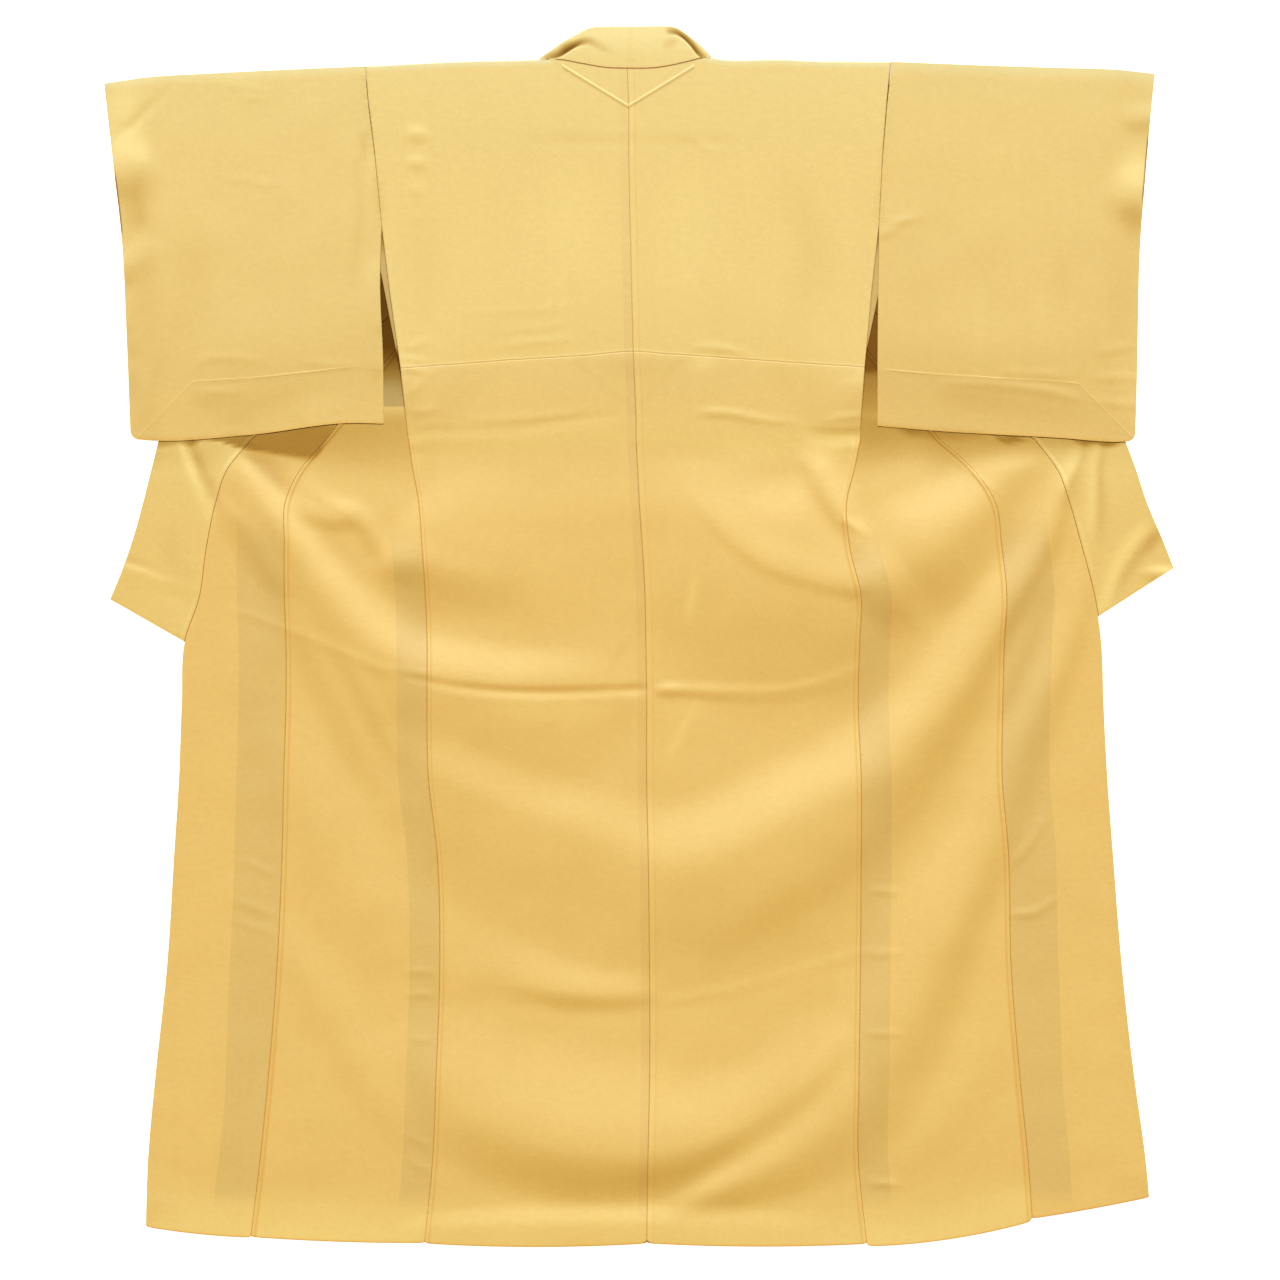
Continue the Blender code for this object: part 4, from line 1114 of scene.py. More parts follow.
# The shade that the sleeves throw on what lies below them, written in the same way.
SLEEVE_SHADES = {
    "left": (
        (-690, 262, 0.5, 30, 17), (-640, 262, 0.55, 30, 16), (-614, 264, 0.6, 30, 12),
        (-599, 264, 0.8, 30, 16), (-587, 266, 0.55, 30, 9), (-572, 268, 0.3, 30, 9),
        (-520, 272, 0.32, 30, 36), (-480, 276, 0.34, 30, 56), (-440, 280, 0.36, 30, 80),
        (-400, 283, 0.36, 30, 96), (-360, 286, 0.34, 30, 104), (-330, 288, 0.32, 30, 108),
        (-295, 288, 0.32, 30, 108)),
    "left patch": (
        (-584, 268, 0, 8, 3), (-570, 269, 5, 24, 5), (-539, 271, 5, 24, 20), (-507, 273, 5, 24, 29),
        (-467, 278, 4.5, 24, 44), (-444, 282, 4.5, 24, 50), (-430, 285, 2.5, 24, 40),
        (-416, 287, 0.9, 14, 22), (-400, 289, 0, 8)),
    "right": (
        (290, 290, 0.42, 30, 100), (330, 286, 0.42, 30, 84), (370, 282, 0.38, 30, 66),
        (410, 278, 0.38, 30, 76), (450, 275, 0.38, 30, 64), (490, 272, 0.38, 30, 54),
        (520, 271, 0.36, 30, 46), (560, 268, 0.36, 30, 34), (600, 265, 0.38, 30, 24),
        (640, 263, 0.3, 30, 14), (670, 264, 0.24, 30, 8)),
    "right patch": (
        (338, 284, 0, 8), (372, 284, 0.9, 14, 20), (410, 280, 0.8, 14, 20), (440, 276, 0.7, 12, 14),
        (458, 275, 0, 8)),
    "right patch two": (
        (476, 274, 0, 8), (492, 272, 1.6, 12, 16), (510, 271, 1.2, 12), (524, 270, 0, 8)),
    "right patch three": (
        (582, 268, 0, 8), (600, 266, 1.8, 12), (612, 265, 0.8, 8), (626, 264, 1.8, 12),
        (648, 264, 0, 8)),
}
MOST_SHADE = 0.66

PAINTED_LIGHT_AND_TONE_MAP += softened(crease_map(FRONT_PAINTED_LIGHT_AND_TONES))
SHADE_MAP = crease_map(SLEEVE_SHADES)


def route(points, share):
    """Points at the given shares of the way along a smooth curve through points."""
    along = travelled(points)
    return hermite(along / along[-1], points, share)


def inset(edge, inside, distance):
    """The line edge moved square to itself by distance, to the side where inside lies."""
    along = np.gradient(edge, axis=0)
    square = np.stack((-along[:, 1], along[:, 0]), axis=1)
    square /= np.linalg.norm(square, axis=1, keepdims=True)
    side = np.sign(np.sum(square * (inside - edge), axis=1, keepdims=True))
    return edge + square * side * distance


def armhole_line(side):
    """Where the sleeve is sewn to the body, from the shoulder down."""
    points = yoke_line(side[0] + "_side", "side_y", ARMHOLE_SECTIONS + 1)
    points[0, 1] = shoulder_height(points[0, 0])
    return points


def turned_cover(x, y):
    """1 where a turned front or collar lies on the surface, falling softly to 0 beside it."""
    cover = np.zeros_like(x)
    for side, turn in TURNS.items():
        outside = turn.sign * distance_beside(x, y, turn.edge, COLLAR_EDGE[side][0])
        cover = np.maximum(cover, smooth_step(1.0 - outside / LEVEL_RAMP) * hanging_cover(turn, x, y))
    return cover


def middle_level(plan):
    """Underside of a layer that lies on the turned fronts."""
    return lowest_level(plan) + LAYER * turned_cover(plan[..., 0], plan[..., 1])


def match_columns(plan, from_first, from_last, other):
    """The plan with as many columns as the other, both running edge to edge."""
    columns = other.shape[1]
    old = shares(plan.shape[1])
    new = shares(columns)
    parts = []
    for values in (plan[..., 0], plan[..., 1], from_first, from_last):
        parts.append(np.stack([np.interp(new, old, row) for row in values]))
    return np.stack(parts[:2], axis=-1), parts[2], parts[3]


def sleeve_shade(plan):
    return np.clip(read_map(SHADE_MAP, plan[..., 0], plan[..., 1]), 0.0, MOST_SHADE)


def turned_cloth(name, hanging, turned, turned_rise, marks):
    """A sheet that hangs face down, is turned over along a fold, and lies face up below it."""
    hanging_z = middle_level(hanging)
    turned_z = lowest_level(turned)
    fold_z = turned_z[0] + CLOTH + (LAYER - CLOTH) / 2
    nose = inset(turned[0], hanging[-2], -CLOTH)
    face = np.concatenate((
        raised(hanging, hanging_z),
        raised(turned[0], fold_z)[None],
        raised(turned, turned_z + CLOTH + turned_rise)))
    reverse = np.concatenate((
        raised(hanging, hanging_z + CLOTH),
        raised(nose, fold_z)[None],
        raised(turned, turned_z + turned_rise)))
    grown = {"hanging": np.zeros((len(hanging) + 1 + len(turned), turned.shape[1]))}
    grown["hanging"][:len(hanging)] = 1.0
    for mark, (hanging_values, turned_values) in marks.items():
        grown[mark] = np.concatenate((hanging_values, turned_values[:1], turned_values))
    plan = np.concatenate((hanging, turned[:1], turned))
    grown["above_hem"] = plan[..., 1] - plan[-1:, :, 1]
    grown["shade"] = sleeve_shade(plan)
    return cloth(name, face, reverse, grown)


GREY_FROM = 308.0
GAP_GREY = (0.60, 0.57, 0.49, 1.0)
HANGING_SHADE = 0.06
BELOW_SLEEVE = {"left": 0.12, "right": 0.04}


def paint_shade(dye, colour, y, side):
    """The shade under the sleeves, darkest far inside the gaps between them and the body."""
    hanging = dye.mark("hanging") * dye.step(y, 372.0, 392.0)
    below_sleeve = dye.between(y, 242.0, 307.0, 24.0) * BELOW_SLEEVE[side]
    if side == "left":
        deep = dye.step(y, 314.0, 394.0)
        grey = dye.step(y, GREY_FROM - 1.5, GREY_FROM + 1.5)
        colour = dye.tint(colour, grey * (1.0 - hanging * 0.8), GAP_GREY)
        near = dye.mark("shade").math("MAXIMUM", below_sleeve) * (1.0 - grey)
    else:
        deep = dye.step(y, 344.0, 382.0) + below_sleeve
        near = dye.mark("shade").math("MAXIMUM", dye.step(y, 230.0, 360.0) * 0.72)
    top = dye.step(y, 505.0, 545.0) * 0.6 + HANGING_SHADE
    dye.shade = (near + deep) * (1.0 - hanging) + hanging * top
    dye.shade = dye.shade.math("MINIMUM", 1.0)
    return dye.shaded(colour)


def paint_front(dye, colour, side):
    y = dye.place("Y")
    from_side = dye.mark("from_first")
    shown = dye.step(y, -770.0, -740.0) * (1.0 - dye.step(y, 95.0, 150.0))
    band = (1.0 - dye.step(from_side, SIDE_BAND - 0.8, SIDE_BAND + 0.8)) * shown
    colour = dye.tint(colour, band, ALLOWANCE)
    line = 1.0 - dye.step(from_side, 0.6, 1.8)
    colour = dye.tint(colour, line, (0.86, 0.72, 0.42, 1.0))
    from_overlap = dye.mark("from_last")
    orange = dye.between(from_overlap, 4.4, 6.0, 1.2)
    colour = dye.tint(colour, orange, (0.96, 0.86, 0.66, 1.0))
    low = 1.0 - dye.step(y, -560.0, -380.0)
    pressed = (1.0 - dye.step(from_overlap, 4.0, 5.0)) * low
    colour = dye.tint(colour, pressed, (0.975, 0.93, 0.80, 1.0))
    return paint_shade(dye, paint_hem(dye, colour), y, side)


def make_front(side):
    turn = TURNS[side]
    armhole = armhole_line(side)
    gap = route((tuple(armhole[-1]), *turn.gap_edge, turn.side), shares(HANGING_ROWS))
    outer = np.concatenate((armhole[::4], gap[1:]))
    inner_along = travelled(outer) / travelled(outer)[-1]
    inner = route((turn.neck, turn.knee), inner_along)
    hanging, hanging_first, hanging_last = lanes(outer, inner, COLUMN_STEP)
    share = skirt_shares(side[0] + "_side")
    side_seam = seam(side[0] + "_side", share)
    overlap_seam = seam(side[0] + "_overlap", share)
    down_side = route((turn.side, tuple(side_seam[0])), shares(HIDDEN_ROWS + 1))
    down_overlap = route((turn.overlap_top, tuple(overlap_seam[0])), shares(HIDDEN_ROWS))
    down_overlap = np.concatenate(([turn.knee], down_overlap))
    down_side[:, 0] -= turn.sign * TUCKED_UNDER * smooth_step((down_side[:, 1] - SKIRT_TOP) / TUCKED_RUN)
    first = np.concatenate((down_side[:-1], side_seam))
    last = np.concatenate((down_overlap[:-1], overlap_seam))
    turned, from_side, from_overlap = lanes(first, last, COLUMN_STEP)
    hanging, hanging_first, hanging_last = match_columns(hanging, hanging_first, hanging_last, turned)
    sag_hem(turned, len(share), HEM_SAG["front_" + side])
    rise = strip(from_overlap, SIDE_STRIP) - rounded(from_side, EDGE_ROUND)
    marks = {"from_first": (hanging_first, from_side), "from_last": (hanging_last, from_overlap)}
    piece = turned_cloth("front_panel_" + side, hanging, turned, rise, marks)
    piece.data.materials.append(silk("silk_front_" + side, paint_front, side))
    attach(piece, "root")
    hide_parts("front_" + side)


for each_side in ("left", "right"):
    make_front(each_side)


# The two overlaps
# Each is a half-width panel sewn to the front's edge from the hem up to a point at the collar.
# Its wide allowance is pressed away from the front and shows through as a darker band.

OVERLAP_POINT_SHARE = 0.03
OVERLAP_BAND = 56.0
OVERLAP_BAND_WIDENING = 8.0
OVERLAP_HEM_GLOW = {"left": 1.0, "right": 0.0}


def paint_overlap(dye, colour, side):
    y = dye.place("Y")
    from_front = dye.mark("from_first")
    shown = dye.step(y, -768.0, -740.0) * (1.0 - dye.step(y, 110.0, 190.0))
    width = OVERLAP_BAND + OVERLAP_BAND_WIDENING * dye.step(y, -640.0, -440.0)
    band = (1.0 - dye.step(from_front - width, -0.8, 0.8)) * shown
    colour = dye.tint(colour, band, ALLOWANCE)
    line = 1.0 - dye.step(from_front, 0.6, 1.8)
    colour = dye.tint(colour, line, (0.86, 0.72, 0.42, 1.0))
    return paint_shade(dye, paint_hem(dye, colour, OVERLAP_HEM_GLOW[side]), y, side)


def make_overlap(side):
    turn = TURNS[side]
    share = skirt_shares(side[0] + "_edge")
    front_seam = seam(side[0] + "_overlap", share)
    outer_edge = seam(side[0] + "_edge", share)
    hidden = shares(HIDDEN_ROWS)
    hidden[0] = OVERLAP_POINT_SHARE
    inner = route((turn.overlap_top, tuple(front_seam[0])), hidden)[:-1]
    outer = route((turn.overlap_top, tuple(outer_edge[0])), hidden)[:-1]
    plan, from_front, from_edge = lanes(
        np.concatenate((inner, front_seam)), np.concatenate((outer, outer_edge)), COLUMN_STEP)
    sag_hem(plan, len(share), HEM_SAG["overlap_" + side])
    z = lowest_level(plan) + CLOTH
    z -= rounded(from_front, EDGE_ROUND) + rounded(from_edge, EDGE_ROUND / 2)
    marks = {"from_first": from_front, "from_last": from_edge,
             "above_hem": plan[..., 1] - plan[-1:, :, 1], "shade": sleeve_shade(plan)}
    piece = cloth("overlap_panel_" + side, raised(plan, z), raised(plan, z - CLOTH), marks)
    piece.data.materials.append(silk("silk_overlap_" + side, paint_overlap, side))
    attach(piece, "root")
    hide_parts("overlap_" + side)


for each_side in ("left", "right"):
    make_overlap(each_side)


# The collar
# One long band sewn round the neck and down both fronts. It is folded in half at the nape and
# opens out to its full width towards its two cut ends, which come out below the sleeves.

COLLAR_ROW_STEP = 4.0
COLLAR_END = {"left": (-608, -7), "right": (620, 27)}
NECK_FOLD = ((-133, 774.5), (-120, 783), (-109, 791), (-97, 799), (-81, 807.5), (-69, 814),
             (-58, 816.5), (-30, 817), (0, 817), (30, 817.5), (44, 817), (53, 814.5),
             (64, 807), (74.5, 799), (84, 791), (92, 783), (98, 776.5))
NECK_CREASES = {
    "left": (
        (-120, 774, 0.4, 12, 3), (-106, 777, 0.8, 13, 2.2), (-94, 784, 1, 15, 2.2),
        (-84, 790.5, 0.9, 11, 3), (-76, 795, 0.6, 9, 6), (-66, 796, 0.34, 9, 8),
        (-56, 791, 0.22, 10, 8), (-45, 785, 0.14, 10, 8), (-30, 782, 0, 8)),
    "right": (
        (42, 810, 0.4, 8), (50, 808, 0.7, 8, 4), (58, 803, 0.9, 8, 2.5), (69, 793, 0.9, 8, 2.5),
        (78, 782, 0.85, 8, 3), (86, 774, 0.5, 8, 3)),
    "spot": (
        (30, 788, 0, 8), (42, 793, 0.15, 11), (56, 801, 0, 8)),
}
NECK_COLUMNS = 160
NECK_ROWS = 26
COLLAR_ROLL = 1.0
ROLL_SHARE = 0.94
CREASE_DEPTH = 1.1


def paint_collar_run(dye, colour, side):
    line = 1.0 - dye.step(dye.mark("from_first"), 0.6, 1.6)
    colour = dye.tint(colour, line, (0.66, 0.48, 0.20, 1.0))
    colour = dye.tint(colour, 1.0, (1.0, 1.07, 1.17, 1.0))
    edge = 1.0 - dye.step(dye.mark("from_last"), 0.3, 1.3)
    colour = dye.tint(colour, edge, (0.86, 0.76, 0.60, 1.0))
    return paint_shade(dye, colour, dye.place("Y"), side)


def make_collar_run(side):
    turn = TURNS[side]
    start = seam(side[0] + "_edge", [0.0])[0]
    end = np.array(COLLAR_END[side], float)
    share_end = (SKIRT_TOP - end[1]) / (SKIRT_TOP - HEM_Y[side[0] + "_edge"])
    rows = int((start[1] - end[1]) / COLLAR_ROW_STEP)
    seam_run = seam(side[0] + "_edge", shares(rows) * share_end)
    edge_run = route(COLLAR_EDGE[side], shares(rows))
    seam_hidden = route((turn.overlap_top, tuple(seam_run[0])), shares(HIDDEN_ROWS))[:-1]
    edge_hidden = route((turn.overlap_top_edge, tuple(edge_run[0])), shares(HIDDEN_ROWS))[:-1]
    seam_line = np.concatenate(([turn.knee], seam_hidden, seam_run))
    edge_line = np.concatenate(([turn.edge], edge_hidden, edge_run))
    turned, from_seam, from_edge = lanes(seam_line, edge_line, COLUMN_STEP)
    seam_top = route((turn.neck, turn.knee), shares(HANGING_ROWS))
    edge_top = route((turn.neck_edge, turn.edge), shares(HANGING_ROWS))
    hanging, hanging_first, hanging_last = lanes(seam_top, edge_top, COLUMN_STEP)
    hanging, hanging_first, hanging_last = match_columns(hanging, hanging_first, hanging_last, turned)
    rise = strip(from_seam, SIDE_STRIP) - rounded(from_edge, EDGE_ROUND / 2)
    marks = {"from_first": (hanging_first, from_seam), "from_last": (hanging_last, from_edge)}
    piece = turned_cloth("collar_band_" + side, hanging, turned, rise, marks)
    piece.data.materials.append(silk("silk_collar_" + side, paint_collar_run, side))
    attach(piece, "root")
    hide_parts("collar_" + side)


def paint_nape(dye, colour):
    """A paler band, the fold of its own width shaded brown at both ends."""
    colour = dye.tint(colour, 1.0, (1.06, 1.11, 1.26, 1.0))
    join = dye.between(dye.place("X"), -15.0, -8.0, 1.5)
    colour = dye.tint(colour, join * 0.5, (0.99, 0.94, 0.84, 1.0))
    dye.shade = (dye.mark("crease") * 1.05).math("MINIMUM", 1.0)
    return dye.shaded(colour)


def make_collar_neck():
    fold_x, fold_y = np.array(NECK_FOLD, float).T
    x = fold_x[0] + (fold_x[-1] - fold_x[0]) * shares(NECK_COLUMNS)
    seam_line = np.stack((x, shoulder_height(x) + SEAM_GAP), axis=-1)
    fold_line = np.stack((x, np.interp(x, fold_x, fold_y)), axis=-1)
    up = shares(NECK_ROWS)[:, None, None]
    half = seam_line[None] * (1.0 - up) + fold_line[None] * up
    crease = np.zeros(half.shape[:2])
    for bends in NECK_CREASES.values():
        add_fold(crease, half[..., 0], half[..., 1], bends)
    rolled = np.sin(np.pi * ROLL_SHARE * shares(NECK_ROWS))[:, None]
    roll = np.sin(np.pi * shares(NECK_COLUMNS))[None, :] * rolled
    under_z = np.full(half.shape[:2], LAYER + CLOTH_LIFT)
    upper_z = under_z + LAYER + COLLAR_ROLL * roll - CREASE_DEPTH * crease
    middle_z = (under_z[-1] + CLOTH + upper_z[-1]) / 2
    nose = half[-1] + np.array((0.0, CLOTH))
    inside = np.concatenate((
        raised(half, under_z + CLOTH), raised(half[-1], middle_z)[None], raised(half, upper_z)[::-1]))
    outside = np.concatenate((
        raised(half, under_z), raised(nose, middle_z)[None], raised(half, upper_z + CLOTH)[::-1]))
    shaded = np.concatenate((0.0 * crease, crease[-1:], crease[::-1]))
    piece = cloth("collar_nape", outside, inside, {"crease": shaded})
    piece.data.materials.append(silk("silk_collar_nape", paint_nape))
    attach(piece, "root")
    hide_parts("collar_neck")


for each_side in ("left", "right"):
    make_collar_run(each_side)
make_collar_neck()


# The two sleeves
# Each is one length folded at the shoulder, sewn to the body at the armhole and closed along its
# bottom and below the hand, with the lower outer corner rounded. The allowance at its bottom
# shows through as a band with a slanting fold at the corner.

SLEEVE_EDGE = 0.55
SLEEVE_EDGE_LEVEL = 0.75
EDGE_PRESS = 60.0
BOTTOM_PRESS = 170.0
CUFF_OPENING = 230.0
CORNER_RADIUS = 11.0
TOP_ROUND = 0.4
OUTER_ROUND = 0.3
BOTTOM_CLEAR = 20.0
SLEEVE_ROW_STEP = 5.0
SLEEVE_BAND = 75.0
SLEEVE_BAND_WAVE = 3.0
SLEEVE_WAVES_PER_METRE = 10.0
MITRES = {"left": ((-600, 336), (-653, 282)), "right": ((640, 286), (589, 337))}
SleeveEdges = namedtuple("SleeveEdges", "top outer bottom inner")
SLEEVES = {
    "left": SleeveEdges(
        ((-716, 741), (-660, 749), (-581, 754), (-502, 758), (-366, 764)),
        ((-716, 741), (-713, 714), (-703, 627), (-692.5, 534), (-686, 404), (-680.5, 265)),
        ((-680.5, 264.5), (-660, 262.5), (-524, 269.5), (-380, 286), (-341, 285)),
        ((-344, 548), (-346, 476), (-342, 369), (-341, 285))),
    "right": SleeveEdges(
        ((692, 754), (645, 759), (558, 762), (494, 764), (338, 770)),
        ((692, 754), (689, 727), (681.5, 645), (672.5, 530), (668, 350), (665.5, 262)),
        ((665.5, 260.5), (648, 259.5), (566, 265), (405, 275), (326, 282)),
        ((322, 551), (321, 476), (320, 369), (320, 282))),
}
SleeveLook = namedtuple("SleeveLook", "line_start line_full gape_low gape_high cloth band")
SLEEVE_LOOKS = {
    "left": SleeveLook(20, 90, 548, 612, (0.972, 0.962, 0.96, 1.0), (0.99, 0.99, 0.985, 1.0)),
    "right": SleeveLook(0, 24, 592, 662, (0.97, 0.948, 0.925, 1.0), (0.975, 0.965, 0.955, 1.0)),
}

SLEEVE_FOLDS = {
    "cuff left": (
        (-720, 622, 1.6, 46, 40), (-700, 622, 2.4, 52, 44), (-680, 622, 2.4, 52, 46),
        (-655, 624, 1.2, 46, 40), (-632, 628, 0, 40, 34)),
    "cuff left low": (
        (-700, 492, 0.96, 36, 26), (-680, 496, 1.1, 36, 26), (-655, 510, 0.72, 34, 24),
        (-635, 524, 0, 30, 20)),
    "cuff right": (
        (618, 590, 0, 40, 24), (640, 588, 1.6, 50, 34), (660, 586, 2.6, 56, 38),
        (690, 584, 2.9, 56, 38)),
    "cuff right top": (
        (640, 700, 0, 20, 18), (660, 696, 0.98, 24, 22), (692, 694, 1.3, 24, 22)),
    "sleeve sag left": (
        (-640, 392, 0, 40, 60), (-560, 380, 0.48, 60, 80), (-460, 384, 0.48, 60, 80),
        (-380, 392, 0, 40, 60)),
    "sleeve sag right": (
        (350, 396, 0, 40, 60), (430, 382, 0.7, 60, 80), (540, 378, 0.7, 60, 80),
        (630, 388, 0, 40, 60)),
}
SLEEVE_CREASES = {
    "cuff groove left": (
        (-700, 662, 0, 9, 8), (-690, 672, -1.1, 10, 8), (-672, 690, -1.1, 10, 8),
        (-655, 708, -0.7, 9, 8), (-640, 722, -0.3, 8), (-615, 746, -0.3, 8), (-606, 756, 0, 8)),
    "sleeve wrinkle left": (
        (-562, 738, 0, 8), (-535, 737, 0.25, 8), (-505, 732, 0.25, 8), (-480, 728, 0, 8)),
    "sleeve wrinkle left two": (
        (-545, 722, 0, 8), (-520, 722, 0.25, 8), (-480, 716, 0, 8)),
    "sleeve wrinkle left three": (
        (-556, 612, 0, 9), (-530, 612, 0.25, 9), (-500, 606, 0.2, 9), (-455, 604, 0, 9)),
    "band wrinkle left": (
        (-600, 352, 0, 9), (-585, 370, 0.35, 9), (-555, 374, 0.4, 9), (-515, 370, 0.3, 9),
        (-490, 368, 0, 9)),
    "band wrinkle left two": (
        (-600, 326, 0, 8), (-580, 328, 0.3, 8), (-545, 328, 0.3, 8), (-520, 330, 0, 8)),
    "band wrinkle left three": (
        (-460, 372, 0, 8), (-430, 366, 0.35, 8), (-400, 364, 0.35, 8), (-365, 366, 0, 8)),
    "band roll right": (
        (400, 340, 0, 9), (440, 340, 0.5, 9), (500, 335, 0.6, 10), (550, 328, 0.7, 10),
        (585, 318, 0.4, 9), (600, 310, 0, 9)),
    "band step right": (
        (480, 352, 0, 8), (500, 353, 0.5, 9, 8), (520, 352, 0.3, 9, 8), (550, 351, 0.4, 9, 8),
        (585, 348, 0, 9, 8)),
    "cuff streak right": (
        (600, 345, 0, 8), (625, 347, 0.4, 8), (672, 346, 0.4, 8)),
    "cuff streak right low": (
        (604, 316, 0, 8), (630, 313, 0.4, 8), (672, 309, 0.4, 8)),
    "cuff streak right high": (
        (604, 378, 0, 9), (630, 384, 0.4, 9), (660, 388, 0.3, 9), (672, 388, 0, 9)),
    "armhole fold right": (
        (324, 534, 0, 8), (334, 543, 0.9, 8), (352, 557, 0.8, 8), (372, 561, 0.3, 8),
        (385, 561, 0, 8)),
}
# Painted shade and light of the sleeves, with some of their own tones, written in the same way.
SLEEVE_PAINTED_LIGHT_AND_TONES = {
    "cuff left pale": (
        (-704, 772, -1.5, 44, 40), (-694, 730, -1.7, 44, 40), (-690, 690, -1.5, 40, 36),
        (-688, 650, -1.4, 36, 30), (-690, 630, 0, 24, 20)),
    "cuff left dark": (
        (-700, 598, 0.9, 26), (-684, 580, 1, 34), (-668, 560, 1.1, 30), (-650, 556, 0, 20)),
    "cuff left wedge": (
        (-690, 505, -0.8, 12), (-672, 524, -0.9, 16), (-655, 540, 0, 12)),
    "edge spots left": (
        (-686, 484, 0, 8), (-684, 478, 1.1, 12), (-683, 468, 0, 8), (-683, 422, 0, 8),
        (-683, 412, 0.9, 12), (-682, 398, 0.2, 8), (-680, 385, 1.2, 14), (-679, 365, 0.1, 8),
        (-678, 343, 1.1, 12), (-678, 325, 0.9, 12), (-677, 300, 0, 9)),
    "band left": (
        (-604, 322, 0, 10), (-590, 316, 0.7, 14, 16), (-550, 310, 0.6, 20, 22),
        (-500, 312, 0.5, 22, 24), (-462, 330, 0.3, 16), (-440, 338, 0, 10)),
    "band left low": (
        (-575, 288, 0, 10), (-535, 290, 0.7, 16), (-505, 286, 0, 10)),
    "band left pale": (
        (-470, 300, 0, 14), (-436, 310, -0.6, 26), (-400, 318, -0.4, 22), (-370, 330, 0, 14)),
    "cuff right pale": (
        (672, 665, 0, 26), (668, 645, -1.6, 34), (662, 615, -1.7, 36), (662, 598, -0.4, 26)),
    "cuff right dark": (
        (668, 582, 0.6, 26), (662, 560, 1.7, 36, 30), (665, 540, 1.4, 30, 28), (668, 524, 0.3, 20)),
    "cuff right upper": (
        (648, 682, 0, 12), (668, 682, 0.9, 15), (690, 686, 0.8, 15)),
    "sleeve right side": (
        (655, 510, 0.3, 40), (648, 450, 0.6, 44), (645, 400, 0.6, 44), (648, 340, 0.3, 40)),
    "band right": (
        (392, 330, 0, 12), (420, 322, 0.7, 16, 30), (470, 318, 0.8, 18, 34),
        (520, 306, 0.6, 18, 26), (570, 300, 0.5, 14, 20), (610, 292, 0, 10)),
    "sleeve right stripe": (
        (457, 480, 0, 10), (457, 430, -0.4, 14), (455, 360, 0, 10)),
    "sleeve right stripe two": (
        (536, 480, 0, 10), (536, 440, -0.4, 12), (538, 395, 0, 10)),
    "sleeve right blotch": (
        (568, 520, 0, 14), (568, 480, 0.5, 24), (565, 440, 0, 14)),
    "sleeve left outer": (
        (-590, 570, 0, 40), (-598, 520, 0.45, 50), (-606, 450, 0.5, 54), (-620, 385, 0, 40)),
    "sleeve left corner": (
        (-722, 742, 1.8, 26), (-700, 738, 1.4, 22), (-668, 740, 0, 16)),
    "cuff left patch": (
        (-668, 634, 0, 20), (-670, 612, 0.8, 22), (-672, 584, 0.8, 24), (-668, 556, 0.7, 22),
        (-660, 540, 0, 18)),
    "cuff left glow": (
        (-672, 690, 0, 18), (-666, 664, -1, 20), (-664, 640, -1, 18), (-664, 630, 0, 12)),
}

UPPER_MAP += fold_map(SLEEVE_FOLDS) + crease_map(SLEEVE_CREASES)
PAINTED_LIGHT_AND_TONE_MAP += softened(crease_map(SLEEVE_PAINTED_LIGHT_AND_TONES))


def sleeve_plan(side):
    """Plan of a sleeve, rows from the shoulder down and columns from the cuff inwards."""
    edges = SLEEVES[side]
    armhole = armhole_line(side)
    lower_rows = int((edges.inner[0][1] - edges.inner[-1][1]) / ROW_STEP)
    lower = route(edges.inner, shares(lower_rows))
    inner = np.concatenate((armhole, lower[1:]))
    down = travelled(inner) / travelled(inner)[-1]
    outer = route(edges.outer, down)
    width = np.linalg.norm(inner[0] - outer[0])
    beside = np.array(EDGE_STEPS) / width
    middle = shares(int(width / SLEEVE_ROW_STEP))
    middle = middle[(middle > 2.0 * beside[-1]) & (middle < 1.0 - 2.0 * beside[-1])]
    across = np.concatenate((beside, middle, 1.0 - beside[::-1]))
    top = route(edges.top, across)
    bottom = route(edges.bottom, across)
    rows = down[:, None, None]
    columns = across[None, :, None]
    corners = ((1 - rows) * ((1 - columns) * top[0] + columns * top[-1])
               + rows * ((1 - columns) * bottom[0] + columns * bottom[-1]))
    plan = ((1 - rows) * top[None] + rows * bottom[None]
            + (1 - columns) * outer[:, None] + columns * inner[:, None] - corners)
    plan[:, -1] = inset(plan[:, -1], plan[:, -2], SEAM_GAP / 2)
    return plan


def round_corner(plan, corner, toward_x):
    """Draw the points near a square corner into a quarter of a circle."""
    centre = np.array((corner[0] + toward_x * CORNER_RADIUS, corner[1] + CORNER_RADIUS))
    u = (centre[0] - plan[..., 0]) * toward_x / CORNER_RADIUS
    v = (centre[1] - plan[..., 1]) / CORNER_RADIUS
    inside = (u > 0.0) & (v > 0.0)
    radius = np.where(inside, np.hypot(u, v), 1.0)
    pull = np.where(inside, np.maximum(u, v) / radius, 1.0)
    return centre + (plan - centre) * pull[..., None]


def opens(here, there, columns, shut):
    """Whether the stretch of a sleeve's border between two places is left open."""
    both_inner = here % columns == columns - 1 and there % columns == columns - 1
    both_outer = here % columns == 0 and there % columns == 0
    at_cuff = both_outer and not shut[max(here, there) // columns]
    return both_inner or at_cuff


